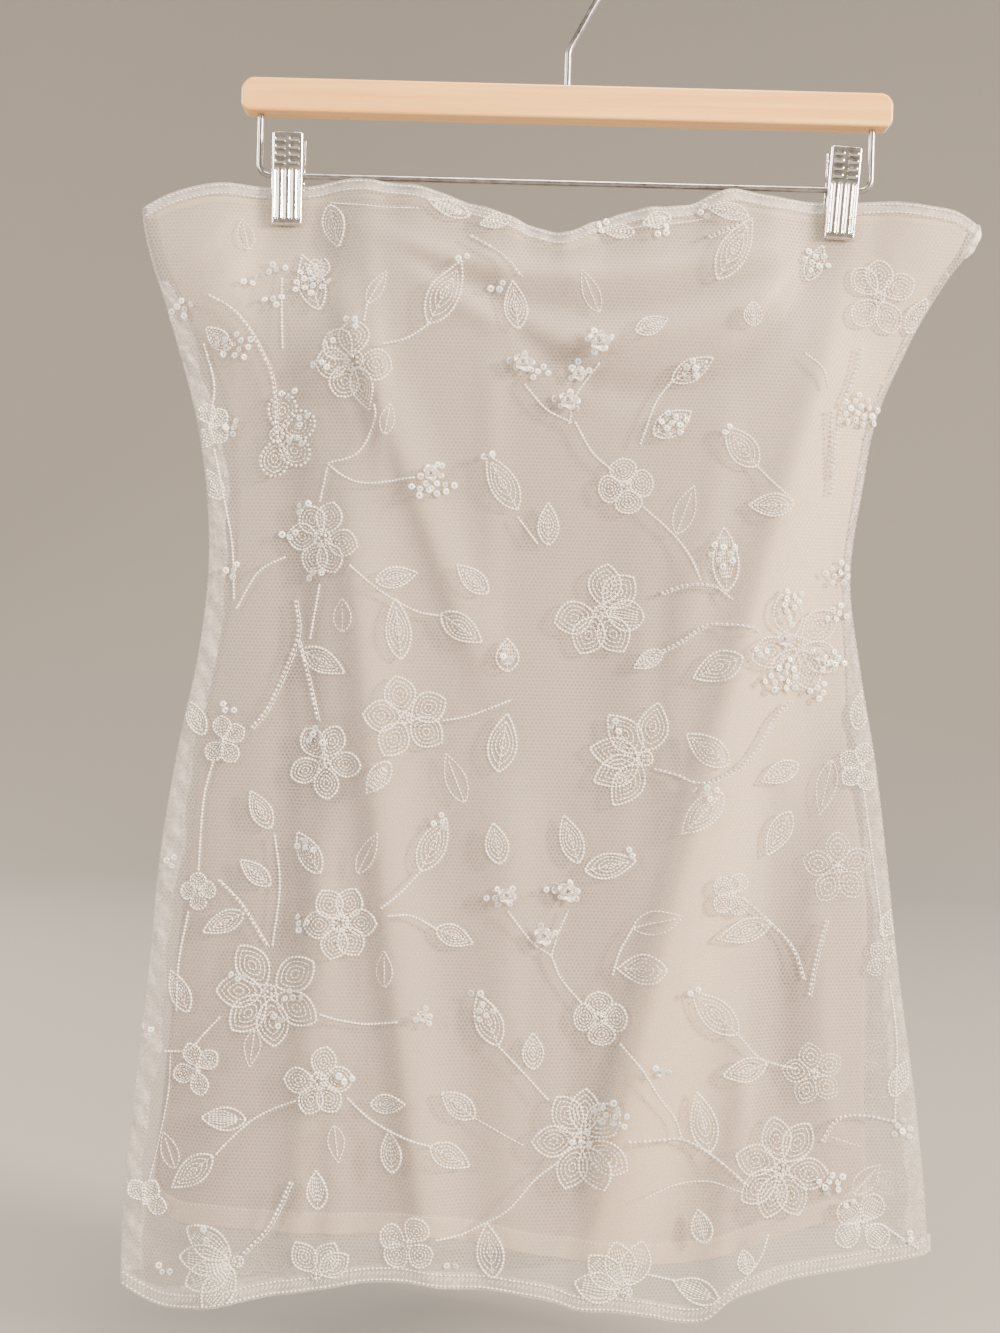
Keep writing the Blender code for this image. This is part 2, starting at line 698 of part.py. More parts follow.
def clip_half_mesh(cutters):
    """A pressed steel half with its face to the front: a face plate, two flanges and pressed grooves."""
    jaw = jaw_face()
    lean = math.atan2(CLIP_OPEN_AT_TOP, CLIP_TOP - CLIP_BOTTOM)
    plate = bmesh.new()
    half = CLIP_WIDTH / 2
    length = (CLIP_TOP - CLIP_BOTTOM) / math.cos(lean)
    box_into(plate, (-half, 0, 0), (half, CLIP_WALL, length))
    place = Matrix.Translation((0, -jaw, CLIP_BOTTOM)) @ Matrix.Rotation(lean, 4, "X")
    bmesh.ops.transform(plate, matrix=place, verts=plate.verts)
    body = helper("clip_plate", plate, cutters)
    for end, way in (("flange_left", -1), ("flange_right", 1)):
        mesh = clip_flange(end, way * (half - CLIP_WALL / 2 - 0.02 * MM))
        flange = in_collection(bpy.data.objects.new(end, mesh), cutters)
        flange.hide_render = True
        combine(body, flange, "UNION")
    pressed = bmesh.new()
    deep = PRESSED_DEPTH
    for i in range(4):
        x = (i - 1.5) * GROOVE_SPACING
        low = (x - GROOVE_WIDTH / 2, -deep, GROOVE_BOTTOM - CLIP_BOTTOM)
        box_into(pressed, low, (x + GROOVE_WIDTH / 2, deep, GROOVE_TOP - CLIP_BOTTOM))
    for row in range(GRIP_ROWS):
        z = GRIP_FIRST + row * GRIP_STEP - CLIP_BOTTOM
        for way in (-1, 1):
            x = way * GRIP_HALF_SPACING
            low = (x - GRIP_WIDTH / 2, -deep, z - GRIP_HEIGHT / 2)
            box_into(pressed, low, (x + GRIP_WIDTH / 2, deep, z + GRIP_HEIGHT / 2))
    bmesh.ops.transform(pressed, matrix=place, verts=pressed.verts)
    combine(body, helper("pressed_grooves", pressed, cutters), "DIFFERENCE")
    graph = bpy.context.evaluated_depsgraph_get()
    mesh = bpy.data.meshes.new_from_object(body.evaluated_get(graph))
    return mesh


def spring_sleeve(name, x, collection):
    """The space of the coil spring round the rail, as a turned ring."""
    profile = bpy.data.meshes.new(name)
    half = SPRING_LENGTH / 2
    inner = SPRING_INNER_RADIUS
    outer = SPRING_OUTER_RADIUS
    corners = [(0, outer, half), (0, outer, -half), (0, inner, -half), (0, inner, half)]
    profile.from_pydata(corners, [(0, 1), (1, 2), (2, 3), (3, 0)], [])
    profile.materials.append(material("steel"))
    item = in_collection(bpy.data.objects.new(name, profile), collection)
    turned = item.modifiers.new("turned", "SCREW")
    turned.axis = "Z"
    turned.steps = SPRING_SIDES
    turned.render_steps = SPRING_SIDES
    turned.use_merge_vertices = True
    turned.merge_threshold = 0.00005
    item.rotation_euler = (0, math.pi / 2, 0)
    item.location = (x, 0, RAIL_HEIGHT)
    return item


def clips(collection, cutters):
    """Two clips on the rail, each of two halves, a spring and two pads, clear of the cloth they grip."""
    half = clip_half_mesh(cutters)
    inner = pad_face()
    for name, way in (("left", -1), ("right", 1)):
        x = way * CLIP_CENTRE
        tilt = Matrix.Translation((x, 0, RAIL_HEIGHT)) @ Matrix.Rotation(CLIP_TILT[name], 4, "Y")
        for face, turn in (("front", 0), ("back", math.pi)):
            place = tilt @ Matrix.Rotation(turn, 4, "Z")
            plate = finished(f"clip_{name}_{face}", half.copy(), "steel", collection)
            plate.matrix_world = place
            work = bmesh.new()
            low = (-PAD_WIDTH / 2, -inner - PAD_THICKNESS, CLIP_BOTTOM)
            box_into(work, low, (PAD_WIDTH / 2, -inner, CLIP_BOTTOM + PAD_HEIGHT))
            mesh = bpy.data.meshes.new("pad")
            work.to_mesh(mesh)
            work.free()
            pad = finished(f"pad_{name}_{face}", mesh, "pad", collection)
            pad.matrix_world = place
        spring_sleeve(f"spring_{name}", x, collection)


def main():
    clear_scene()
    dress = bpy.data.collections.new("strapless_dress")
    cutters = bpy.data.collections.new("cutters")
    for collection in (dress, cutters):
        bpy.context.scene.collection.children.link(collection)
    cloth_panels(dress)
    wooden_bar(dress, cutters)
    hook(dress)
    clip_rail(dress)
    clips(dress, cutters)


main()
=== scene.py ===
"""Strapless dress of embroidered tulle on a wooden clip hanger: each piece's finish, and the photo's view."""

import math

import bmesh
import bpy
import numpy as np
from mathutils import Matrix, Vector


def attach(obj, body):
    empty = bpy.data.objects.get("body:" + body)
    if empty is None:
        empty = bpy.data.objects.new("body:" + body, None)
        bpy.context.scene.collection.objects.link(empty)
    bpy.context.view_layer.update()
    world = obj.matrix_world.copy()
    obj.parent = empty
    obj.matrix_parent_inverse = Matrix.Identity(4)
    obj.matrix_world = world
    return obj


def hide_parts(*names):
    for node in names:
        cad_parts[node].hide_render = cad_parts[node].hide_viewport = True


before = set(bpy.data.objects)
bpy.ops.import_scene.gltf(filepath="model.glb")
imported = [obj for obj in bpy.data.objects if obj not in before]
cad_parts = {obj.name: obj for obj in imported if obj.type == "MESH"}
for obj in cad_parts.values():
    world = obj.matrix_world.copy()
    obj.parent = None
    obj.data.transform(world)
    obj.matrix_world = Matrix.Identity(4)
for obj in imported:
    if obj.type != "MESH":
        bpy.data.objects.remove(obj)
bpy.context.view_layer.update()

# Studio and camera. The hanger hangs on a rail out of view, in a round pale bowl of painted board, so that
# every side of the dress has the same plain ground behind it. The camera stands 0.9 m off, as in the photo.
MM = 0.001
BOWL_FLOOR = -0.80
BOWL_FLAT = 1.2
BOWL_ROUND = 1.2
BOWL_WALL = 3.4
BOWL_RIM = 3.6
SENSOR = 36
CAMERA_X = -28.8 * MM
CAMERA_HEIGHT = -402.6 * MM
CAMERA_DISTANCE = 0.90
FIELD_HEIGHT = 0.733
PHOTO_ROLL = math.radians(1.5)
LIGHT_AIM = Vector((0, 0, -0.45))
# Each lamp's name, place, width in metres, watts and colour. The key stands low at the right, so that each
# fold of the dress has a lit side and a shaded one.
LIGHTS = (
    ("key", (2.2, -1.15, 0.45), 0.5, 236, "#FFEBD2"),
    ("fill", (-1.9, -1.7, 0.3), 1.2, 60, "#FFF6EE"),
    ("top", (0.1, -0.55, 1.5), 0.7, 44, "#FFF2E2"),
    ("back_left", (-2.0, 1.3, 0.6), 0.8, 80, "#FFF6EA"),
    ("back_right", (1.6, 1.9, 0.4), 1.4, 18, "#F1F2FF"),
)
AIR_COLOUR = "#F0ECE6"
AIR_STRENGTH = 0.45


def linear(code):
    """sRGB hex turned linear: c/12.92 below 0.04045, and ((c+0.055)/1.055)^2.4 above."""
    parts = [int(code[i : i + 2], 16) / 255 for i in (1, 3, 5)]
    return (*[c / 12.92 if c <= 0.04045 else ((c + 0.055) / 1.055) ** 2.4 for c in parts], 1.0)


def join(tree, made, inputs):
    """Sets a node's inputs by name or number, or links them where the value is another node's output."""
    for name, value in inputs.items():
        if isinstance(value, bpy.types.NodeSocket):
            tree.links.new(value, made.inputs[name])
        else:
            made.inputs[name].default_value = value


def node(tree, kind, inputs=None, stops=(), **settings):
    """Adds a shader node with its settings and inputs, and with stops of place and hex colour if any."""
    made = tree.nodes.new(kind)
    for name, value in settings.items():
        setattr(made, name, value)
    join(tree, made, inputs or {})
    for i, (place, colour) in enumerate(stops):
        cells = made.color_ramp.elements
        cell = cells[i] if i < 2 else cells.new(place)
        cell.position = place
        cell.color = linear(colour)
    return made


def finish(name, colour, roughness, **sockets):
    """A Principled material with plain values. Returns the material, its tree and its shader."""
    made = bpy.data.materials.new(name)
    made.use_nodes = True
    shader = made.node_tree.nodes["Principled BSDF"]
    shader.inputs["Base Color"].default_value = linear(colour)
    shader.inputs["Roughness"].default_value = roughness
    for socket, value in sockets.items():
        shader.inputs[socket.replace("_", " ")].default_value = value
    return made, made.node_tree, shader


def mesh_piece(name, points, faces, stuff, caps=()):
    """A new object at the origin, from arrays of points in metres and of faces, and many-sided caps."""
    mesh = bpy.data.meshes.new(name)
    mesh.from_pydata(points.reshape(-1, 3).tolist(), [], faces.tolist() + list(caps))
    mesh.materials.append(stuff)
    mesh.shade_smooth()
    piece = bpy.data.objects.new(name, mesh)
    bpy.context.scene.collection.objects.link(piece)
    return piece


def grid_faces(rows, columns, wrap=False):
    """Quads of a grid of rows by columns, closed round its columns if wrap is set."""
    across = columns if wrap else columns - 1
    i = np.arange(rows - 1)[:, None] * columns
    j = np.arange(across)[None, :]
    after = (j + 1) % columns
    quads = np.stack([i + j, i + columns + j, i + columns + after, i + after], axis=-1)
    return quads.reshape(-1, 4)


def turned_profile(radius, height, steps):
    """A profile turned about the z axis: (r cos a, r sin a, h) at so many steps of a, and its quads."""
    a = np.linspace(0, 2 * np.pi, steps, endpoint=False)
    radius, height = np.asarray(radius)[:, None], np.asarray(height)[:, None]
    points = np.stack([radius * np.cos(a), radius * np.sin(a), height + 0 * a], axis=-1)
    return points, grid_faces(len(radius), steps, wrap=True)


# Board with a coat of matt grey paint: no gloss, and a faint glow of its own, so that no side falls dark.
board, *_ = finish("painted_studio_board", "#96918A", 0.9, Emission_Strength=0.08,
                   Emission_Color=linear("#E8E4DE"))

# The bowl's profile: a flat floor, a quarter round, and an upright wall.
curve = np.linspace(0, np.pi / 2, 13)
bowl_radius = np.concatenate([[1 * MM, BOWL_FLAT], BOWL_WALL - BOWL_ROUND * (1 - np.sin(curve)), [BOWL_WALL]])
bowl_height = np.concatenate([[BOWL_FLOOR] * 2, BOWL_FLOOR + BOWL_ROUND * (1 - np.cos(curve)), [BOWL_RIM]])
bowl, bowl_faces = turned_profile(bowl_radius, bowl_height, 96)
stage = mesh_piece("studio_bowl", bowl, bowl_faces[:, ::-1], board)

view = bpy.data.cameras.new("photo_view")
view.sensor_width = SENSOR
view.sensor_height = SENSOR
view.sensor_fit = "AUTO"
view.lens = SENSOR * CAMERA_DISTANCE / FIELD_HEIGHT
view.clip_start = 10 * MM
camera = bpy.data.objects.new("photo_view", view)
bpy.context.scene.collection.objects.link(camera)
stand = Matrix.Translation((CAMERA_X, -CAMERA_DISTANCE, CAMERA_HEIGHT))
camera.matrix_world = stand @ Matrix.Rotation(math.pi / 2, 4, "X") @ Matrix.Rotation(PHOTO_ROLL, 4, "Z")
bpy.context.scene.camera = camera

for name, place, size, watts, colour in LIGHTS:
    lamp = bpy.data.lights.new(name, "AREA")
    lamp.shape = "DISK"
    lamp.size = size
    lamp.energy = watts
    lamp.color = linear(colour)[:3]
    holder = bpy.data.objects.new(name, lamp)
    bpy.context.scene.collection.objects.link(holder)
    holder.location = place
    holder.rotation_euler = (LIGHT_AIM - Vector(place)).to_track_quat("-Z", "Y").to_euler()
world = bpy.data.worlds.new("studio_air")
world.use_nodes = True
air = world.node_tree.nodes["Background"]
join(world.node_tree, air, {"Color": linear(AIR_COLOUR), "Strength": AIR_STRENGTH})
bpy.context.scene.world = world

# Hanger bar. A length of solid beech, sawn, sanded with round upper corners and eased edges, and lacquered
# clear. The hook is driven into its top and the rail's two legs into its underside.
BAR_HALF_LENGTH = 178 * MM
BAR_HALF_DEPTH = 6.85 * MM
BAR_TOP = -84 * MM
BAR_BOTTOM = -102.5 * MM
BAR_UPPER_CORNER = 7 * MM
BAR_LOWER_CORNER = 4.5 * MM
BAR_EASED_EDGE = 1.5 * MM


def arc(centre_x, centre_z, radius, start, end, steps):
    """Points at centre + radius (cos a, sin a), with a from start to end."""
    a = np.linspace(start, end, steps)
    return np.stack([centre_x + radius * np.cos(a), centre_z + radius * np.sin(a)], axis=1)


def bar_outline():
    """The bar's four corners as quarter arcs, from the right upper one round to the right lower one."""
    upper_x = BAR_HALF_LENGTH - BAR_UPPER_CORNER
    upper_z = BAR_TOP - BAR_UPPER_CORNER
    lower_x = BAR_HALF_LENGTH - BAR_LOWER_CORNER
    lower_z = BAR_BOTTOM + BAR_LOWER_CORNER
    quarter = math.pi / 2
    return np.concatenate([
        arc(upper_x, upper_z, BAR_UPPER_CORNER, 0, quarter, 14),
        arc(-upper_x, upper_z, BAR_UPPER_CORNER, quarter, 2 * quarter, 14),
        arc(-lower_x, lower_z, BAR_LOWER_CORNER, 2 * quarter, 3 * quarter, 12),
        arc(lower_x, lower_z, BAR_LOWER_CORNER, 3 * quarter, 4 * quarter, 12),
    ])


def wooden_bar(stuff):
    """The outline at both faces, joined by quads and closed by two many-sided faces, with bevelled edges."""
    rim = bar_outline()
    count = len(rim)
    near = np.stack([rim[:, 0], np.full(count, -BAR_HALF_DEPTH), rim[:, 1]], axis=1)
    i = np.arange(count)
    after = (i + 1) % count
    sides = np.stack([i, i + count, after + count, after], axis=1)
    caps = [i.tolist(), (2 * count - 1 - i).tolist()]
    piece = mesh_piece("wooden_bar", np.concatenate([near, near * (1, -1, 1)]), sides, stuff, caps)
    work = bmesh.new()
    work.from_mesh(piece.data)
    bmesh.ops.recalc_face_normals(work, faces=work.faces)
    work.to_mesh(piece.data)
    work.free()
    eased = piece.modifiers.new("eased edges", "BEVEL")
    eased.width = BAR_EASED_EDGE
    eased.segments = 4
    eased.limit_method = "ANGLE"
    eased.angle_limit = math.radians(50)
    eased.harden_normals = True
    return piece


# Lacquered beech: pale pinkish tan, fine straight grain along the bar, and short dark ray flecks. The sizes
# of a streak of grain and of a fleck are along the bar, through it and up it.
GRAIN_STREAK = np.array([200, 8.33, 5.26]) * MM
RAY_FLECK = np.array([9.09, 3.33, 1.11]) * MM
beech, tree, shader = finish("lacquered_beech", "#E8C592", 0.38, Coat_Weight=0.35, Coat_Roughness=0.22)
place = node(tree, "ShaderNodeTexCoord").outputs["Object"]
along_grain = node(tree, "ShaderNodeMapping", {"Vector": place, "Scale": tuple(1 / GRAIN_STREAK)})
grain = node(tree, "ShaderNodeTexNoise", {"Vector": along_grain.outputs[0], "Scale": 1.0, "Detail": 5.0,
                                          "Roughness": 0.55})
plain_grain = node(tree, "ShaderNodeValToRGB", {"Fac": grain.outputs["Fac"]},
                   stops=((0.3, "#EAAA5A"), (0.5, "#F8BE70"), (0.7, "#FFCF82")))
along_ray = node(tree, "ShaderNodeMapping", {"Vector": place, "Scale": tuple(1 / RAY_FLECK)})
ray = node(tree, "ShaderNodeTexNoise", {"Vector": along_ray.outputs[0], "Scale": 1.0, "Detail": 2.0})
fleck = node(tree, "ShaderNodeMapRange", {"Value": ray.outputs["Fac"], "From Min": 0.62, "From Max": 0.74,
                                          "To Min": 0.0, "To Max": 0.35})
flecked = node(tree, "ShaderNodeMix", {"Factor": fleck.outputs[0], "A": plain_grain.outputs["Color"],
                                       "B": linear("#C8904F")}, data_type="RGBA")
pores = node(tree, "ShaderNodeBump", {"Height": grain.outputs["Fac"], "Strength": 0.25, "Distance": 0.3 * MM})
join(tree, shader, {"Base Color": flecked.outputs["Result"], "Normal": pores.outputs["Normal"]})

bar = wooden_bar(beech)
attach(bar, "root")
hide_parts("hanger_bar")

# Hook and clip rail. Round 3.4 mm steel wire, zinc plated and bent cold. The hook goes straight up out of the
# bar, leans to the viewer's right and passes over its rail; the clip rail's two ends turn up into the bar.
WIRE_RADIUS = 1.7 * MM
HOOK_LOOP_RADIUS = 20.7 * MM
HOOK_CENTRE = -19 * MM
HOOK_LEAN = math.radians(28)
HOOK_END = math.radians(196)
HOOK_BEND = 12 * MM
RAIL_HALF_SPAN = 168 * MM
RAIL_HEIGHT = -136 * MM
RAIL_BEND = 6 * MM


def tube(name, path, reference, radius, sides, stuff):
    """A round section carried along a path: path + radius (n cos a + b sin a), with n the reference direction
    made square to the path and b square to both. Its ends are rounded by four rings of radius times cos q."""
    ahead = np.gradient(path, axis=0)
    ahead /= np.linalg.norm(ahead, axis=1, keepdims=True)
    q = np.radians([80.0, 60.0, 40.0, 20.0])[:, None]
    reference = np.broadcast_to(reference, path.shape)
    start = path[0] - ahead[0] * radius * np.sin(q)
    end = path[-1] + ahead[-1] * radius * np.sin(q[::-1])
    middle = np.concatenate([start, path, end])
    size = radius * np.concatenate([np.cos(q[:, 0]), np.ones(len(path)), np.cos(q[::-1, 0])])
    ahead = np.concatenate([np.repeat(ahead[:1], 4, 0), ahead, np.repeat(ahead[-1:], 4, 0)])
    reference = np.concatenate([np.repeat(reference[:1], 4, 0), reference, np.repeat(reference[-1:], 4, 0)])
    n = reference - ahead * np.sum(reference * ahead, axis=1, keepdims=True)
    n /= np.linalg.norm(n, axis=1, keepdims=True)
    b = np.cross(ahead, n)
    a = np.linspace(0, 2 * np.pi, sides, endpoint=False)
    ring = n[:, None, :] * np.cos(a)[:, None] + b[:, None, :] * np.sin(a)[:, None]
    points = middle[:, None, :] + size[:, None, None] * ring
    rows = len(middle)
    caps = [list(range(sides - 1, -1, -1)), list(range((rows - 1) * sides, rows * sides))]
    return mesh_piece(name, points, grid_faces(rows, sides, wrap=True)[:, ::-1], stuff, caps)


def upright(path):
    """A path in X and Z as points in the bar's middle plane."""
    return np.stack([path[:, 0], 0 * path[:, 0], path[:, 1]], axis=1)


def hook_path():
    """Up from the bar, round a bend of 12 mm to the lean, then on the loop's circle to the wire's end."""
    touch_x = HOOK_LOOP_RADIUS * math.cos(HOOK_LEAN)
    touch_z = HOOK_CENTRE - HOOK_LOOP_RADIUS * math.sin(HOOK_LEAN)
    bend_z = touch_z - touch_x / math.tan(HOOK_LEAN) - HOOK_BEND * math.tan(HOOK_LEAN / 2)
    stem = np.stack([np.zeros(6), np.linspace(BAR_TOP - 8 * MM, bend_z - 1 * MM, 6)], axis=1)
    bend = arc(HOOK_BEND, bend_z, HOOK_BEND, math.pi, math.pi - HOOK_LEAN, 14)
    lean = np.linspace(bend[-1], (touch_x, touch_z), 8)[1:-1]
    loop = arc(0, HOOK_CENTRE, HOOK_LOOP_RADIUS, -HOOK_LEAN, HOOK_END, 90)
    return upright(np.concatenate([stem, bend, lean, loop]))


def rail_path():
    """Down out of the bar, round a bend of 6 mm, straight across, and up again."""
    top = BAR_BOTTOM + 6 * MM
    low = RAIL_HEIGHT + RAIL_BEND
    inner = RAIL_HALF_SPAN - RAIL_BEND
    left_leg = np.stack([np.full(5, -RAIL_HALF_SPAN), np.linspace(top, low + 1 * MM, 5)], axis=1)
    left = arc(-inner, low, RAIL_BEND, math.pi, 1.5 * math.pi, 14)
    across = np.stack([np.linspace(-inner, inner, 26)[1:-1], np.full(24, RAIL_HEIGHT)], axis=1)
    right = arc(inner, low, RAIL_BEND, 1.5 * math.pi, 2 * math.pi, 14)
    return upright(np.concatenate([left_leg, left, across, right, left_leg[::-1] * (-1, 1)]))


def plated(name, dull, bright, smoothest, roughest):
    """A plated metal whose tint and roughness drift between two values in patches of 3.85 mm."""
    metal, tree, shader = finish(name, bright, roughest, Metallic=1.0)
    place = node(tree, "ShaderNodeTexCoord").outputs["Object"]
    handling = node(tree, "ShaderNodeTexNoise", {"Vector": place, "Scale": 1 / (3.85 * MM), "Detail": 4.0})
    patch = handling.outputs["Fac"]
    rough = node(tree, "ShaderNodeMapRange", {"Value": patch, "From Min": 0.3, "From Max": 0.7,
                                              "To Min": smoothest, "To Max": roughest})
    tint = node(tree, "ShaderNodeValToRGB", {"Fac": patch}, stops=((0.3, dull), (0.7, bright)))
    join(tree, shader, {"Roughness": rough.outputs["Result"], "Base Color": tint.outputs["Color"]})
    return metal


# Zinc-plated wire: satin grey, with drawing marks too fine to see one by one.
wire_metal = plated("zinc_plated_wire", "#989595", "#BAB7B7", 0.27, 0.38)

hook = tube("wire_hook", hook_path(), (0, 1, 0), WIRE_RADIUS, 20, wire_metal)
rail = tube("wire_clip_rail", rail_path(), (0, 1, 0), WIRE_RADIUS, 20, wire_metal)
for piece, name in ((hook, "hanger_hook"), (rail, "clip_rail")):
    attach(piece, "root")
    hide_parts(name)

# Clips. Each is two halves of 0.9 mm steel, pressed with four long grooves and two columns of finger grips,
# turned in at both sides to bear on the rail, and closed by a coil spring round it. Soft pads line the jaws.
CLIP_CENTRE = 152 * MM
CLIP_HALF_WIDTH = 8.5 * MM
CLIP_WALL = 0.9 * MM
CLIP_TOP = 22 * MM
CLIP_BOTTOM = -28 * MM
CLIP_FACE = 5.2 * MM
CLIP_OPEN = 3.5 * MM
CLIP_CORNER = 1.4 * MM
CLIP_TILT = {"left": 0.0, "right": math.radians(3)}
CLIP_ROWS = 101
CLIP_TURNED_END = 0.8 * MM
# How far a side reaches in, from the jaw up to the top: heights, and distances from the middle plane.
FLANGE_ROWS = ((-28, 3.2), (-6, 3.0), (-4, 2.1), (4, 2.1), (8, 4.6), (22, 5.6))
GROOVE_SPACING = 3.9 * MM
GROOVE_HALF_WIDTH = 0.8 * MM
GROOVE_DEPTH = 0.7 * MM
GROOVE_END = 0.9 * MM
GROOVE_TOP = 2.4 * MM
GROOVE_BOTTOM = -25.3 * MM
GRIP_HALF_SPACING = 3.8 * MM
GRIP_HALF_WIDTH = 2.7 * MM
GRIP_FIRST = 6.2 * MM
GRIP_STEP = 4.0 * MM
GRIP_ROWS = 4
GRIP_HALF_HEIGHT = 2.0 * MM
GRIP_HOOD = 0.8 * MM
GRIP_SLOT = 0.6 * MM
SPRING_TURNS = 7
SPRING_HALF_LENGTH = 4 * MM
SPRING_RADIUS = 2.65 * MM
SPRING_WIRE = 0.55 * MM


def pressed(x, z):
    """Relief of the clip's face: grooves as -depth exp(-(x/w)^4), and grips as hoods that rise and drop at
    once into a slot under each."""
    relief = np.zeros(x.shape)
    for i in range(4):
        off = (x - (i - 1.5) * GROOVE_SPACING) / GROOVE_HALF_WIDTH
        ends = np.clip((z - GROOVE_BOTTOM) / GROOVE_END, 0, 1) * np.clip((GROOVE_TOP - z) / GROOVE_END, 0, 1)
        relief -= GROOVE_DEPTH * np.exp(-(off**4)) * ends
    for row in range(GRIP_ROWS):
        up = (z - GRIP_FIRST - row * GRIP_STEP) / GRIP_HALF_HEIGHT
        hood = np.where((up > -0.5) & (up < 0.6), (0.6 - up) / 1.1, 0)
        slot = np.exp(-(((up + 0.72) / 0.2) ** 2))
        for way in (-1, 1):
            off = (x - way * GRIP_HALF_SPACING) / GRIP_HALF_WIDTH
            shape = np.clip(1 - off**4, 0, 1) ** 0.5
            relief += (GRIP_HOOD * hood - GRIP_SLOT * slot) * shape
    return relief


def clip_half():
    """Half a clip, facing the front. Across: in along one side, round a corner, over the face and back in.
    Up: the face leans forward by 3.5 mm over its height, and its two ends turn in by 0.8 mm."""
    corner = np.radians(np.linspace(0, 90, 5))
    flat = np.linspace(-1, 1, 41)[:, None].T.ravel() * (CLIP_HALF_WIDTH - CLIP_CORNER)
    z = np.linspace(CLIP_BOTTOM, CLIP_TOP, CLIP_ROWS)[:, None]
    face = CLIP_FACE + CLIP_OPEN * (z - CLIP_BOTTOM) / (CLIP_TOP - CLIP_BOTTOM)
    ends = np.minimum(z - CLIP_BOTTOM, CLIP_TOP - z) / CLIP_WALL
    face = face - CLIP_TURNED_END * np.clip(1 - ends, 0, 1) ** 2
    heights, inner = np.array(FLANGE_ROWS, float).T * MM
    reach = np.interp(z, heights, inner)
    inset = np.linspace(0, 1, 4)[:-1]
    side_y = reach + (face - CLIP_CORNER - reach) * inset
    corner_x = CLIP_HALF_WIDTH - CLIP_CORNER * (1 - np.cos(corner))
    corner_y = face - CLIP_CORNER * (1 - np.sin(corner))
    x = np.concatenate([np.full(3, -CLIP_HALF_WIDTH), -corner_x, flat[1:-1], corner_x[::-1],
                        np.full(3, CLIP_HALF_WIDTH)])
    x = np.broadcast_to(x, (CLIP_ROWS, len(x)))
    face_y = face + pressed(np.broadcast_to(flat[1:-1], (CLIP_ROWS, len(flat) - 2)), z)
    y = np.concatenate([side_y, corner_y, face_y, corner_y[:, ::-1], side_y[:, ::-1]], axis=1)
    return np.stack([x, -y, np.broadcast_to(z, x.shape)], axis=-1)


def coil(middle):
    """Seven turns of 1.1 mm wire round the rail: (s, r cos a, r sin a), with s running 8 mm along it."""
    a = np.linspace(0, SPRING_TURNS * 2 * np.pi, SPRING_TURNS * 14)
    radial = np.stack([0 * a, np.cos(a), np.sin(a)], axis=1)
    path = radial * SPRING_RADIUS
    path[:, 0] = np.linspace(-SPRING_HALF_LENGTH, SPRING_HALF_LENGTH, len(a))
    return path + np.array([middle, 0, RAIL_HEIGHT]), radial


# Bright nickel on the pressed steel: silvery, a little softened by handling.
plate_metal = plated("bright_nickel_plate", "#C6C3C0", "#E9E6E3", 0.16, 0.27)
shell = clip_half()
shell_faces = grid_faces(*shell.shape[:2])[:, ::-1]
for name, way in (("left", -1), ("right", 1)):
    tilt = Matrix.Translation((way * CLIP_CENTRE, 0, RAIL_HEIGHT)) @ Matrix.Rotation(CLIP_TILT[name], 4, "Y")
    for face, turned in (("front", 0), ("back", math.pi)):
        place = np.array(tilt @ Matrix.Rotation(turned, 4, "Z"))
        points = shell.reshape(-1, 3) @ place[:3, :3].T + place[:3, 3]
        piece = mesh_piece(f"pressed_clip_{name}_{face}", points, shell_faces, plate_metal)
        wall = piece.modifiers.new("wall", "SOLIDIFY")
        wall.thickness = CLIP_WALL
        wall.offset = -1
        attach(piece, "root")
        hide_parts(f"clip_{name}_{face}")
    path, radial = coil(way * CLIP_CENTRE)
    spring = tube(f"coil_spring_{name}", path, radial, SPRING_WIRE, 8, plate_metal)
    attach(spring, "root")
    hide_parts(f"spring_{name}")

# Clear soft vinyl pads: milky, slightly yellowed, with a moulded matt skin, mottled every 1.11 mm.
vinyl, tree, shader = finish("soft_vinyl_pad", "#D9D8D2", 0.55, IOR=1.53)
place = node(tree, "ShaderNodeTexCoord").outputs["Object"]
moulded = node(tree, "ShaderNodeTexNoise", {"Vector": place, "Scale": 1 / (1.11 * MM), "Detail": 3.0})
tint = node(tree, "ShaderNodeValToRGB", {"Fac": moulded.outputs["Fac"]},
            stops=((0.3, "#CBCAC3"), (0.7, "#E4E3DD")))
skin = node(tree, "ShaderNodeBump", {"Height": moulded.outputs["Fac"], "Strength": 0.2, "Distance": 0.1 * MM})
join(tree, shader, {"Base Color": tint.outputs["Color"], "Normal": skin.outputs["Normal"]})
for name in ("left", "right"):
    for face in ("front", "back"):
        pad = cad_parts[f"pad_{name}_{face}"]
        pad.data.materials.clear()
        pad.data.materials.append(vinyl)

# Lining. Two panels of plain off-white jersey, narrower than the tulle and 20 to 45 mm shorter, sewn up the
# sides and caught in at the neckline. It hangs as a flat tube, with soft folds down from the two clips.
LINING_WALL = 0.7 * MM
LINING_HEM_BAND = 12 * MM
LINING_NECK_BAND = 7.5 * MM
LINING_BELOW_NECK = 3 * MM
LINING_TURNED = 0.4 * MM
LINING_HEM_WALL = 0.6 * MM
HALF_SEAM = 0.15 * MM
JAW_BOTTOM = -164 * MM
OUTWARD = {"front": -1, "back": 1}
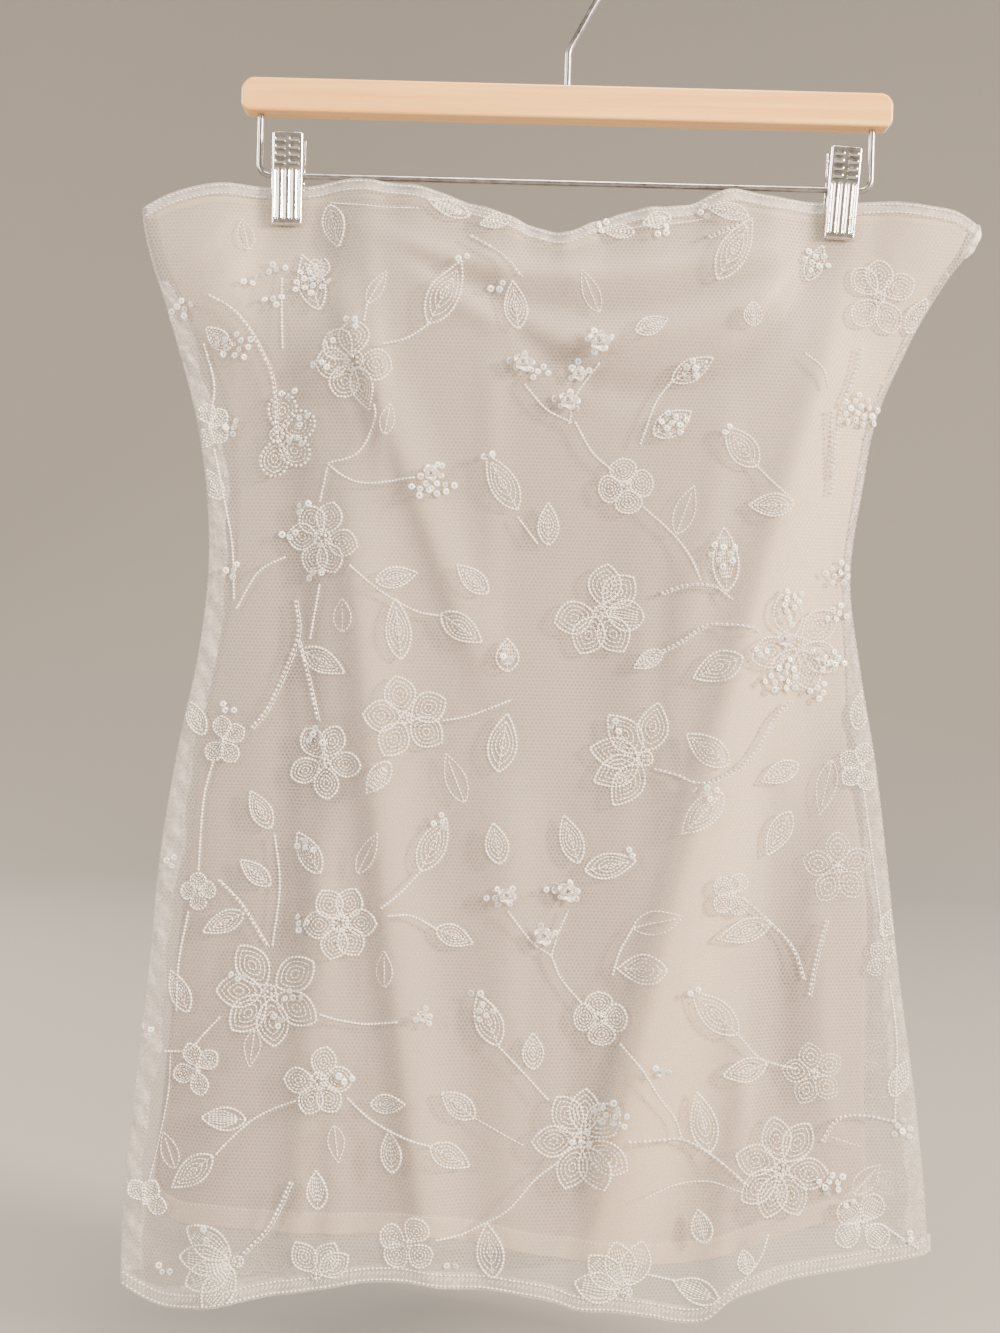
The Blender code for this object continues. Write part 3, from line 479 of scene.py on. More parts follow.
# All tables of the cloth are in millimetres, read off the photo. First the two side seams of both
# layers, and how far the lining's front and back stand off the middle plane.
SIDE_COLUMNS = ("z", "tulle_left", "tulle_right", "lining_left", "lining_right", "front", "back")
SIDE_ROWS = (
    (-760, -229.0, 217.5, -213.0, 183.5, 14.5, 13.5),
    (-690, -228.0, 212.5, -211.0, 180.5, 14.5, 13.5),
    (-630, -223.0, 205.0, -206.5, 177.0, 14.0, 13.0),
    (-570, -217.5, 195.5, -202.0, 176.5, 13.5, 12.5),
    (-510, -213.0, 187.5, -197.0, 174.5, 13.0, 12.5),
    (-450, -204.5, 179.0, -192.0, 163.5, 12.5, 12.0),
    (-400, -195.0, 169.5, -183.0, 160.5, 12.0, 12.0),
    (-350, -190.5, 162.5, -176.5, 157.5, 12.0, 11.5),
    (-300, -194.0, 168.0, -176.0, 163.0, 13.5, 12.0),
    (-260, -202.0, 175.0, -182.5, 170.0, 15.0, 13.0),
    (-230, -211.0, 187.0, -197.0, 182.0, 16.0, 13.5),
    (-205, -219.0, 199.0, -210.0, 193.5, 15.5, 13.0),
    (-185, -226.0, 211.0, -219.5, 205.5, 13.5, 12.0),
    (-165, -231.0, 224.5, -225.0, 218.5, 11.0, 10.0),
    (-140, -232.5, 229.5, -227.0, 224.0, 9.5, 9.0),
)
# The heights of the neckline and of the lining's hem.
EDGE_COLUMNS = ("x", "front", "back")
NECK_ROWS = (
    (-232, -156.0, -156.0), (-218, -149.0, -150.0), (-203, -144.5, -146.0), (-187, -142.0, -143.5),
    (-165, -143.0, -143.0), (-140, -142.0, -144.0), (-120, -139.0, -148.0), (-99, -140.5, -153.0),
    (-77, -144.0, -158.0), (-55, -150.5, -163.0), (-33, -157.5, -167.0), (-12, -165.0, -169.5),
    (1, -167.0, -170.0), (14, -161.5, -170.0), (34, -154.5, -168.0), (55, -151.0, -164.0),
    (68, -149.0, -161.0), (80, -143.5, -158.0), (92, -140.5, -155.0), (110, -142.5, -150.0),
    (132, -143.5, -145.0), (152, -143.5, -143.5), (180, -142.5, -143.0), (199, -144.5, -145.0),
    (218, -148.0, -148.5), (229, -155.0, -155.0),
)
LINING_HEM_ROWS = (
    (-212, -697.0, -697.0), (-207, -705.5, -703.0), (-199, -710.5, -707.0), (-180, -712.0, -709.0),
    (-130, -712.5, -708.0), (-90, -711.5, -706.0), (-50, -711.5, -707.0), (-20, -716.0, -710.0),
    (0, -720.5, -712.0), (24, -722.5, -712.0), (64, -723.5, -710.0), (88, -721.5, -708.0),
    (114, -715.0, -704.0), (146, -704.5, -698.0), (172, -696.0, -692.0), (181, -689.0, -689.0),
)
# Folds that run down: face, from x and z, to x and z, bow, width, height, and the right flank's share of it.
DROP_FOLDS = (
    ("front", -116, -262, -54, -738, -4, 11, 5.8, 1.8),
    ("front", 166, -160, 26, -735, -6, 11, 9.0, 3.2),
    ("front", 150, -400, 108, -735, 4, 10, -3.0, 1.4),
    ("front", -163, -150, -200, -225, 6, 9, 3.5, 1.0),
    ("front", -156, -168, -150, -660, 9, 12, -4.2, 1.0),
    ("front", -120, -470, -132, -735, 0, 9, 3.0, 1.0),
    ("front", 30, -300, 22, -735, -5, 20, -3.0, 1.0),
    ("front", 120, -420, 150, -700, -8, 13, -3.5, 1.0),
    ("front", -25, -430, -20, -735, 4, 16, 3.0, 1.0),
    ("front", 134, -158, 66, -250, 8, 9, 3.2, 1.0),
    ("front", -139, -160, -26, -440, 3, 9, 3.9, 1.6),
    ("back", 96, -230, 70, -730, 5, 16, 5.5, 1.0),
    ("back", -150, -160, -78, -560, -20, 16, 6.0, 1.0),
    ("back", -150, -350, -96, -700, -8, 12, 4.5, 1.0),
    ("back", 152, -160, 150, -630, -8, 10, -3.5, 1.0),
    ("back", 18, -290, 28, -735, 6, 18, 3.5, 1.0),
    ("back", -40, -300, -34, -735, -4, 15, -3.0, 1.0),
    ("back", 128, -420, 136, -720, 3, 10, 3.0, 1.0),
    ("back", -136, -152, -76, -240, -7, 8, 3.0, 1.0),
    ("back", 138, -152, 78, -240, 7, 8, 3.0, 1.0),
)
# Small creases of the finished cloth, in the same columns.
FINE_FOLDS = (
    ("front", -176, -170, -186, -300, 4, 5, 1.4, 1.0),
    ("front", -108, -160, -96, -330, 3, 5, 1.3, 1.0),
    ("front", -140, -330, -128, -520, 3, 6, -1.4, 1.0),
    ("front", -176, -420, -186, -640, -3, 7, 1.6, 1.0),
    ("front", -40, -210, -36, -420, 3, 8, 1.2, 1.0),
    ("front", 4, -500, 8, -700, -3, 8, 1.3, 1.0),
    ("front", 58, -330, 44, -520, 5, 8, -1.5, 1.0),
    ("front", 96, -560, 118, -735, 4, 7, 1.6, 1.0),
    ("front", 142, -500, 160, -690, 4, 7, 1.5, 1.0),
    ("front", 176, -158, 186, -215, 2, 5, 1.6, 1.0),
    ("front", -174, -154, -212, -196, 2, 6, 2.2, 1.0),
    ("front", -120, -520, -112, -738, 3, 7, 2.0, 1.6),
    ("front", 92, -240, 60, -420, 6, 9, 1.8, 1.0),
    ("front", 20, -420, 12, -640, 4, 12, 1.8, 1.6),
    ("front", 118, -600, 96, -738, -3, 8, 2.2, 1.4),
    ("front", -186, -300, -196, -560, -4, 7, 2.2, 1.0),
    ("back", -172, -170, -164, -340, 4, 6, 1.4, 1.0),
    ("back", -120, -300, -112, -520, 3, 7, -1.4, 1.0),
    ("back", -10, -240, -16, -420, 3, 8, 1.2, 1.0),
    ("back", 60, -400, 52, -600, 4, 8, 1.4, 1.0),
    ("back", 110, -540, 122, -720, 4, 7, 1.5, 1.0),
    ("back", 178, -170, 186, -290, 3, 6, 1.5, 1.0),
    ("back", 176, -440, 190, -640, -3, 7, 1.5, 1.0),
)
# Folds that hang between the clips: face, from x, to x, z at the ends and at the sag, width and height.
SWAG_FOLDS = (
    ("front", -130, 140, -156, -190, 6, 2.0),
    ("front", -112, 142, -164, -209, 7, -2.0),
    ("front", -104, 140, -172, -226, 8, 2.2),
    ("front", -60, 146, -178, -252, 9, -2.4),
    ("back", -140, 140, -160, -196, 7, 2.4),
    ("back", -134, 134, -168, -214, 8, -2.4),
    ("back", -126, 130, -176, -232, 9, 2.6),
)


def table(columns, rows):
    """A table's numbers as metres by column name, in the order of the first column."""
    ordered = np.array(sorted(rows), float) * MM
    return {name: ordered[:, i] for i, name in enumerate(columns)}


def smooth_through(places, values, at):
    """Cubic curve through a table's points, each slope taken from its neighbours."""
    slopes = np.gradient(values, places)
    at = np.clip(at, places[0], places[-1])
    left = np.clip(np.searchsorted(places, at) - 1, 0, len(places) - 2)
    span = places[left + 1] - places[left]
    t = (at - places[left]) / span
    rise = values[left + 1] - values[left]
    start = slopes[left] * span
    end = slopes[left + 1] * span
    return values[left] + t * (start + t * ((3 * rise - 2 * start - end) + t * (start + end - 2 * rise)))


def step(t):
    """0 below 0, 1 above 1, and 3t^2 - 2t^3 between."""
    t = np.clip(t, 0, 1)
    return t * t * (3 - 2 * t)


SIDES = table(SIDE_COLUMNS, SIDE_ROWS)
NECK = table(EDGE_COLUMNS, NECK_ROWS)
LINING_HEM = table(EDGE_COLUMNS, LINING_HEM_ROWS)


def side(name, z):
    """One column of the sides' table at any height."""
    return smooth_through(SIDES["z"], SIDES[name], z)


def neck_height(face, x):
    """The neckline's height at any x."""
    return smooth_through(NECK["x"], NECK[face], x)


def lining_hem(face, x):
    """The height of the lining's lower edge at any x."""
    return smooth_through(LINING_HEM["x"], LINING_HEM[face], x)


def share_across(layer, x, z):
    """-1 at the layer's left side seam, 0 half way and 1 at the right."""
    left = side(layer + "_left", z)
    right = side(layer + "_right", z)
    return np.clip((2 * x - left - right) / (right - left), -1, 1)


def jaw_grip(x, z):
    """1 where a clip presses the cloth flat, falling off as a bell beside and below it."""
    aside = np.maximum(np.abs(np.abs(x) - CLIP_CENTRE) - 14.5 * MM, 0)
    below = np.maximum(JAW_BOTTOM - 7 * MM - z, 0)
    return np.exp(-((aside / (20 * MM)) ** 2) - (below / (38 * MM)) ** 2)


def drop_fold(fold, x, z):
    """A ridge or trough of height exp(-(s/w)^2) across a line that runs down the cloth, bowed as 4t(1-t),
    whose two flanks may differ in width."""
    _, from_x, from_z, to_x, to_z, bow, width, height, right_flank = fold
    run = np.clip((from_z * MM - z) / ((from_z - to_z) * MM), 0, 1)
    middle = (from_x + (to_x - from_x) * run + 4 * bow * run * (1 - run)) * MM
    ends = step(run / 0.22) * step((1 - run) / 0.3 + (0.5 if to_z < -700 else 0))
    flank = np.where(x > middle, right_flank, 1.0) * width * MM
    return height * MM * np.exp(-(((x - middle) / flank) ** 2)) * ends


def swag_fold(fold, x, z):
    """A ridge or trough of height exp(-(s/w)^2) across a parabola that hangs between two points."""
    _, from_x, to_x, end_z, sag_z, width, height = fold
    run = np.clip((x / MM - from_x) / (to_x - from_x), 0, 1)
    middle = (end_z + (sag_z - end_z) * 4 * run * (1 - run)) * MM
    ends = step(run / 0.2) * step((1 - run) / 0.2)
    return height * MM * np.exp(-(((z - middle) / (width * MM)) ** 2)) * ends


def ruffles(face, x, z):
    """Two sine waves along the neckline, which die out below it as an exponential."""
    below = np.maximum(neck_height(face, x) - z, 0)
    phase = 0.7 if face == "front" else 2.2
    wide = np.sin(2 * np.pi * x / (41 * MM) + phase) * np.exp(-below / (20 * MM))
    fine = np.sin(2 * np.pi * x / (17.5 * MM) + 2 * phase + 3 * np.sin(x / (31 * MM)))
    span = step((118 * MM - np.abs(x)) / (20 * MM))
    return (2.2 * wide + 0.9 * fine * np.exp(-below / (9 * MM))) * MM * span


def folds(face, x, z):
    """How far all the folds of one face lift the cloth together."""
    total = ruffles(face, x, z)
    for fold in DROP_FOLDS + FINE_FOLDS:
        if fold[0] == face:
            total = total + drop_fold(fold, x, z)
    for fold in SWAG_FOLDS:
        if fold[0] == face:
            total = total + swag_fold(fold, x, z)
    return total


def lining_depth(face, x, z):
    """Distance of the lining's inner side from the middle plane: depth times 1-|s|^3, plus the folds."""
    share = np.abs(share_across("lining", x, z))
    loose = side(face, z) * (1 - share**3) + folds(face, x, z) * (1 - share**4)
    return HALF_SEAM + (1 - jaw_grip(x, z)) * np.maximum(loose, 0)


def panel_grid(layer, face, across, rows, below_neck, hem):
    """x and z of a panel: z runs from below the neckline to the hem, and x keeps its share of the width."""
    share = np.linspace(0, 1, across)

    def spread_over(z):
        """x of each share of the width at a height."""
        return side(layer + "_left", z) * (1 - share) + side(layer + "_right", z) * share

    top_z = np.full(across, -150 * MM)
    bottom_z = np.full(across, -720 * MM)
    # The x of an edge depends on its own height, so the two are found in turns.
    for _ in range(8):
        top_z = neck_height(face, spread_over(top_z)) - below_neck
        bottom_z = hem(face, spread_over(bottom_z))
    # Closer rows in the turned bands at both edges.
    band_rows = np.linspace(0, 0.02, 10), np.linspace(0.024, 0.965, rows - 30), np.linspace(0.968, 1, 20)
    drop = np.concatenate(band_rows)[:, None]
    z = top_z * (1 - drop) + bottom_z * drop
    return spread_over(z), z


# The painted light of the front, a bright band lit from the right: its crisp left edge and its width, as
# heights and then places in millimetres.
LIT_BAND_EDGE = np.array([[-720, -632, -474, -307, -165], [6, 34, 69, 127, 152]]) * MM
LIT_BAND_WIDTH = np.array([[-632, -400, -165], [46, 60, 95]]) * MM


def lit_side(x, z):
    """A mask of painted light: 1 on the broad band of the front lit from the right, that runs from the right
    clip down to the middle of the hem, 0 left of its crisp edge, and 0.15 far to its right."""
    edge = np.interp(z, *LIT_BAND_EDGE)
    width = np.interp(z, *LIT_BAND_WIDTH)
    return step((x - edge) / (9 * MM)) * (1 - 0.85 * step((x - edge - width) / (28 * MM)))


def cloth_panel(name, face, x, depth, z, wall, stuff):
    """A sheet with its outer side away from the middle plane, and its UV map as (x + 0.5 m, z + 0.9 m)."""
    points = np.stack([x, OUTWARD[face] * depth, z], axis=-1)
    quads = grid_faces(*x.shape)
    if face == "back":
        quads = quads[:, ::-1]
    piece = mesh_piece(name, points, quads, stuff)
    layout = piece.data.uv_layers.new(name="cut")
    corners = np.empty(len(piece.data.loops), np.int32)
    piece.data.loops.foreach_get("vertex_index", corners)
    flat = np.stack([x.ravel() + 0.5, z.ravel() + 0.9], axis=1)[corners]
    layout.data.foreach_set("uv", flat.ravel())
    if wall:
        thick = piece.modifiers.new("wall", "SOLIDIFY")
        thick.thickness = wall
        thick.offset = 1
    return piece


def shade_attribute(piece, name, values):
    """Keeps one number a point on the piece, for its material."""
    layer = piece.data.attributes.new(name, "FLOAT", "POINT")
    layer.data.foreach_set("value", np.asarray(values, np.float32).ravel())


# Polyester jersey: soft and matt with a slight sheen. Painted shade and light in its colour: greyish in the
# hollows of the folds, cream on their crests and on the painted lit patches. Its ribs stand 0.75 mm apart.
jersey, tree, shader = finish("off_white_jersey", "#D9CBBD", 0.72, Sheen_Weight=0.25, Sheen_Roughness=0.5)
painted_light_shade_and_tone = node(tree, "ShaderNodeAttribute", attribute_name="painted_light_shade_and_tone")
tint = node(tree, "ShaderNodeValToRGB", {"Fac": painted_light_shade_and_tone.outputs["Fac"]},
            stops=((0.0, "#94867F"), (0.35, "#AE9F95"), (0.62, "#C8B8A7"), (1.0, "#E6D3B9")))
place = node(tree, "ShaderNodeTexCoord").outputs["UV"]
knit = node(tree, "ShaderNodeTexWave", {"Vector": place, "Scale": 2 * math.pi / (20 * 0.748 * MM),
                                        "Distortion": 0.6, "Detail": 1.0})
ribs = node(tree, "ShaderNodeBump", {"Height": knit.outputs["Fac"], "Strength": 0.12, "Distance": 0.2 * MM})
join(tree, shader, {"Base Color": tint.outputs["Color"], "Normal": ribs.outputs["Normal"]})

for face in ("front", "back"):
    x, z = panel_grid("lining", face, 150, 186, LINING_BELOW_NECK, lining_hem)
    turned_up = step((lining_hem(face, x) + LINING_HEM_BAND - z) / (1 * MM))
    turned_in = step((z - (neck_height(face, x) - LINING_BELOW_NECK) + LINING_NECK_BAND) / (1 * MM))
    depth = lining_depth(face, x, z) + LINING_TURNED * (turned_up + turned_in) * (1 - jaw_grip(x, z))
    piece = cloth_panel(f"lining_{face}_cloth", face, x, depth, z, LINING_WALL, jersey)
    # Painted shade and light: the folds' height, which turns the jersey grey in the hollows and cream on the
    # crests.
    rise = folds(face, x, z) / (6 * MM)
    # Painted light: the jersey is made lighter at its upper left beyond the clip, and on the front's broad
    # band lit from the right. It is lighter too in its turned bands at hem and neck.
    painted_light_left = step((-x - 118 * MM) / (55 * MM)) * step((z + 420 * MM) / (160 * MM))
    free = 0.26 * painted_light_left + (0.34 * lit_side(x, z) if face == "front" else 0)
    shade_attribute(piece, "painted_light_shade_and_tone", np.clip(0.34 + 0.4 * rise + 0.3 * (turned_up + turned_in) + free, 0, 1))
    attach(piece, "root")
    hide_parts("lining_" + face)

    # The hem's inner layer: the same strip of jersey turned up inside, 0.3 mm behind the panel.
    x = np.linspace(-189, 154, 140) * MM
    down = np.linspace(0, 1, 8)[:, None]
    z = lining_hem(face, x) + 0.3 * MM + (LINING_HEM_BAND - 0.6 * MM) * (1 - down)
    x = np.broadcast_to(x, z.shape)
    depth = lining_depth(face, x, z) - LINING_HEM_WALL - 0.3 * MM
    inner = cloth_panel(f"lining_hem_{face}_cloth", face, x, depth, z, LINING_HEM_WALL, jersey)
    shade_attribute(inner, "painted_light_shade_and_tone", np.full(x.size, 0.6))
    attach(inner, "root")
    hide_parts("lining_hem_" + face)

# Tulle. Front and back of sheer nylon net, cut wider and longer than the lining. It stands a few
# millimetres off the lining, and is held with it by the clips, so its sides and hem show the ground behind.
TULLE_HEM_ROWS = (
    (-230, -746.0, -746.0), (-209, -756.0, -760.0), (-184, -755.0, -758.5), (-156, -748.5, -756.5),
    (-121, -741.0, -747.0), (-93, -735.0, -741.5), (-72, -733.5, -739.0), (-44, -737.0, -741.0),
    (-20, -738.0, -742.5), (4, -741.0, -740.5), (20, -745.5, -737.0), (43, -746.5, -731.0),
    (62, -750.0, -727.5), (75, -753.0, -727.5), (91, -751.0, -726.0), (103, -740.5, -721.0),
    (122, -733.5, -715.0), (153, -728.0, -711.5), (185, -724.0, -713.0), (218, -718.0, -718.0),
)
TULLE_HEM = table(EDGE_COLUMNS, TULLE_HEM_ROWS)
TULLE_OVER = 2.2 * MM
HEM_PHASE = {"front": (0.6, 2.1), "back": (2.9, 0.4)}
HEM_SWING = 7 * MM
# A thread every 1.9 mm, coarser than the real 1 mm, so that the net shows in a render.
NET_PITCH = 1.9 * MM


def tulle_hem(face, x):
    """The height of the tulle's lower edge at any x."""
    return smooth_through(TULLE_HEM["x"], TULLE_HEM[face], x)


def hem_waves(face, x, z):
    """The sum of a 96 mm wave and a 57 mm wave, from nothing 180 mm above the hem to 7 mm at it."""
    reach = step((-560 * MM - z) / (180 * MM))
    first, second = HEM_PHASE[face]
    wave = 0.65 * np.sin(2 * np.pi * x / (96 * MM) + first)
    wave += 0.35 * np.sin(2 * np.pi * x / (57 * MM) + second)
    return HEM_SWING * reach * (1 + wave) / 2


def tulle_depth(face, x, z):
    """Distance of the tulle from the middle plane: over the lining and its air, and down to its own seams."""
    left = side("tulle_left", z)
    right = side("tulle_right", z)
    share = np.abs(share_across("tulle", x, z))
    below = neck_height(face, x) - z
    air = 1.2 * MM + 1.4 * MM * step(below / (30 * MM)) + hem_waves(face, x, z)
    over = lining_depth(face, x, z) + TULLE_OVER + air * (1 - jaw_grip(x, z)) * (1 - share**6)
    edge = step(np.minimum(x - left, right - x) / (3 * MM))
    return HALF_SEAM + (over - HALF_SEAM) * edge


# Nylon tulle: a sheer net whose threads cross three ways, with the jersey or the ground seen between them.
net, tree, shader = finish("nylon_tulle", "#C6BBB2", 0.5, Sheen_Weight=0.2)
place = node(tree, "ShaderNodeTexCoord").outputs["UV"]
strands = []
for angle in (30, 90, 150):
    way = node(tree, "ShaderNodeMapping", {"Vector": place, "Rotation": (0, 0, math.radians(angle))})
    strands.append(node(tree, "ShaderNodeTexWave", {"Vector": way.outputs["Vector"],
                                                    "Scale": 2 * math.pi / (20 * NET_PITCH)}).outputs["Fac"])
pair = node(tree, "ShaderNodeMath", {0: strands[0], 1: strands[1]}, operation="MAXIMUM")
threads = node(tree, "ShaderNodeMath", {0: pair.outputs[0], 1: strands[2]}, operation="MAXIMUM")
cover = node(tree, "ShaderNodeMapRange", {"Value": threads.outputs[0], "From Min": 0.55, "From Max": 1.0,
                                          "To Min": 0.14, "To Max": 0.5})
join(tree, shader, {"Alpha": cover.outputs["Result"]})

for face in ("front", "back"):
    x, z = panel_grid("tulle", face, 210, 230, 0, tulle_hem)
    piece = cloth_panel(f"tulle_{face}_cloth", face, x, tulle_depth(face, x, z), z, 0, net)
    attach(piece, "root")
    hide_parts("tulle_" + face)

# Embroidery. Rayon chain stitch, finer filling stitch, glass beads and cupped clear sequins, sewn by machine
# through the tulle before it was cut: sprays of five- to seven-petalled flowers on long stems with leaves.
# The places below are read off the photo, in its pixels; each motif is drawn by its own formula.
PIXEL = 0.55 * MM
BAR_MIDDLE = np.array([567.0, 105.6])
BAR_MIDDLE_HEIGHT = -93.2 * MM

# Flowers: x, y, petal's reach, half width and point, heart's radius, filling, and each petal's direction.
FLOWERS = (
    (357, 367, 38, 15, 0.2, 9, "rings", (184, 135, 90, 346, 244)),
    (357, 367, 50, 11, 1.0, 0, "rings", (287,)), (278, 437, 42, 14, 0.2, 6, "beads", (75, 20, 319, 266)),
    (325, 540, 36, 13, 0.4, 8, "rings", (121, 72, 175, 345, 290, 248)),
    (877, 300, 38, 13, 0.3, 5, "rings", (90, 27, 293, 226, 131)),
    (623, 490, 27, 13, 0.1, 5, "rings", (100, 10, 280, 190)),
    (408, 717, 42, 15, 0.5, 5, "rings", (105, 25, 325, 240, 175)),
    (327, 760, 37, 12, 0.3, 4, "rings", (122, 68, 352, 275, 205)),
    (343, 918, 36, 13, 0.4, 8, "rings", (120, 65, 0, 300, 255, 185)),
    (273, 987, 54, 16, 0.5, 6, "rings", (125, 35, 180, 225, 275, 330)),
    (598, 612, 46, 16, 0.5, 5, "rings", (195, 245, 300, 80, 45)),
    (598, 612, 44, 15, 0.3, 0, "hatch", (350,)), (793, 643, 50, 15, 0.5, 6, "rings", (200, 290, 35)),
    (793, 643, 50, 15, 0.5, 0, "sequins", (245, 330, 110)),
    (643, 757, 56, 15, 0.8, 7, "rings", (131, 77, 170, 204, 235)),
    (835, 867, 36, 12, 0.4, 4, "dots", (90, 20, 310, 240, 165)),
    (727, 890, 22, 9, 0.2, 3, "rings", (60, 140, 220, 300)),
    (322, 1072, 34, 12, 0.3, 8, "rings", (180, 5, 75, 249, 301)),
    (243, 1250, 60, 15, 0.6, 5, "hatch", (150, 180, 207, 235)),
    (320, 1262, 38, 12, 0.6, 4, "rings", (122, 61, 34)),
    (410, 1227, 28, 12, 0.1, 4, "rings", (160, 58, 319, 227)),
    (580, 1130, 49, 15, 0.5, 7, "rings", (120, 85, 45, 330, 295, 250, 180)),
    (598, 1012, 26, 13, 0.1, 6, "rings", (95, 5, 275, 175)),
    (810, 1070, 31, 11, 0.4, 4, "dots", (100, 30, 315, 245, 170)),
    (777, 1160, 50, 15, 0.5, 6, "rings", (160, 215, 250, 290, 345, 55, 100)),
    (860, 1220, 32, 12, 0.2, 4, "hatch", (60, 140, 210, 320)),
    (623, 1275, 52, 15, 0.7, 5, "hatch", (135, 73, 169, 103)),
    (210, 427, 22, 9, 0.3, 3, "rings", (40, 100, 320, 250)),
    (225, 740, 24, 9, 0.3, 3, "rings", (30, 95, 300, 230)),
    (200, 890, 18, 8, 0.1, 5, "rings", (90, 10, 180, 270)),
    (860, 767, 24, 9, 0.3, 3, "rings", (150, 80, 220, 290)), (320, 283, 22, 8, 0.6, 3, "hatch", (75, 105)),
    (885, 960, 22, 8, 0.4, 3, "dots", (60, 130, 210)),
    (200, 1065, 26, 9, 0.4, 3, "rings", (110, 40, 200, 280)),
    (145, 1200, 24, 9, 0.4, 3, "rings", (60, 120, 350)),
)
# Leaves: the tip's x and y, the root's x and y, half width and filling.
LEAVES = (
    (340, 251, 330, 207, 11, "rings"), (303, 257, 322, 315, 13, "rings"), (462, 270, 430, 332, 15, "rings"),
    (388, 280, 370, 312, 7, "thin"), (512, 290, 518, 337, 11, "rings"), (418, 575, 378, 583, 10, "rings"),
    (458, 568, 488, 595, 10, "rings"), (487, 460, 517, 513, 13, "rings"), (547, 507, 547, 548, 10, "rings"),
    (393, 410, 387, 440, 7, "thin"), (748, 225, 713, 287, 14, "rings"), (822, 247, 805, 283, 9, "rings"),
    (747, 310, 747, 334, 9, "rings"), (580, 280, 597, 320, 8, "thin"), (663, 327, 632, 340, 9, "rings"),
    (708, 365, 668, 387, 10, "rings"), (687, 417, 650, 440, 12, "rings"), (690, 490, 673, 537, 10, "thin"),
    (720, 432, 753, 470, 14, "rings"), (745, 508, 788, 508, 11, "rings"), (720, 530, 723, 593, 13, "hatch"),
    (482, 643, 442, 615, 12, "rings"), (507, 640, 507, 672, 11, "hatch"), (397, 600, 403, 660, 12, "rings"),
    (347, 673, 303, 650, 11, "rings"), (345, 600, 345, 633, 9, "thin"), (507, 713, 498, 770, 14, "rings"),
    (447, 753, 465, 800, 10, "thin"), (370, 790, 392, 760, 10, "hatch"), (253, 790, 273, 827, 10, "rings"),
    (243, 858, 273, 883, 9, "rings"), (300, 830, 323, 870, 11, "rings"), (380, 830, 360, 870, 8, "thin"),
    (447, 815, 422, 867, 13, "rings"), (205, 930, 247, 910, 10, "rings"), (493, 820, 500, 860, 11, "rings"),
    (473, 938, 437, 923, 10, "rings"), (387, 945, 387, 980, 8, "thin"), (632, 668, 660, 652, 8, "rings"),
    (690, 678, 737, 657, 14, "rings"), (683, 733, 723, 763, 13, "rings"), (678, 830, 717, 790, 13, "rings"),
    (758, 780, 795, 763, 10, "rings"), (763, 853, 787, 810, 11, "rings"), (817, 813, 830, 760, 10, "thin"),
    (713, 933, 767, 920, 11, "rings"), (677, 910, 630, 923, 11, "thin"), (615, 963, 662, 962, 14, "rings"),
    (562, 813, 577, 860, 11, "rings"), (633, 857, 583, 867, 12, "rings"), (253, 1060, 258, 1025, 8, "thin"),
    (175, 1183, 217, 1148, 12, "rings"), (205, 1112, 250, 1112, 11, "hatch"),
    (470, 1155, 432, 1132, 11, "rings"), (407, 1092, 373, 1095, 9, "rings"),
    (443, 1082, 475, 1108, 11, "rings"), (392, 1120, 395, 1160, 10, "rings"),
    (342, 1150, 338, 1115, 8, "thin"), (478, 987, 498, 1037, 13, "rings"),
    (532, 1025, 532, 1060, 10, "rings"), (320, 1160, 322, 1197, 10, "hatch"),
    (487, 1210, 493, 1263, 13, "rings"), (687, 985, 733, 1027, 14, "rings"),
    (718, 1067, 763, 1058, 11, "rings"), (692, 1083, 705, 1142, 13, "rings"),
    (877, 1163, 850, 1190, 10, "thin"), (693, 1198, 700, 1230, 10, "hatch"),
    (670, 1268, 713, 1285, 12, "hatch"), (737, 1236, 742, 1260, 8, "rings"),
    (205, 470, 222, 500, 9, "rings"), (188, 700, 205, 735, 9, "rings"), (900, 905, 880, 935, 9, "rings"),
    (862, 690, 855, 730, 9, "rings"), (172, 970, 190, 1010, 10, "rings"), (905, 1060, 890, 1095, 9, "rings"),
    (165, 1130, 178, 1165, 9, "thin"), (430, 208, 470, 222, 8, "hatch"), (640, 232, 668, 224, 8, "hatch"),
    (600, 236, 632, 240, 7, "rings"), (705, 215, 745, 222, 8, "rings"), (480, 232, 510, 226, 7, "rings"),
    (208, 330, 232, 352, 9, "rings"), (925, 300, 905, 335, 9, "rings"), (243, 222, 250, 252, 8, "thin"),
)
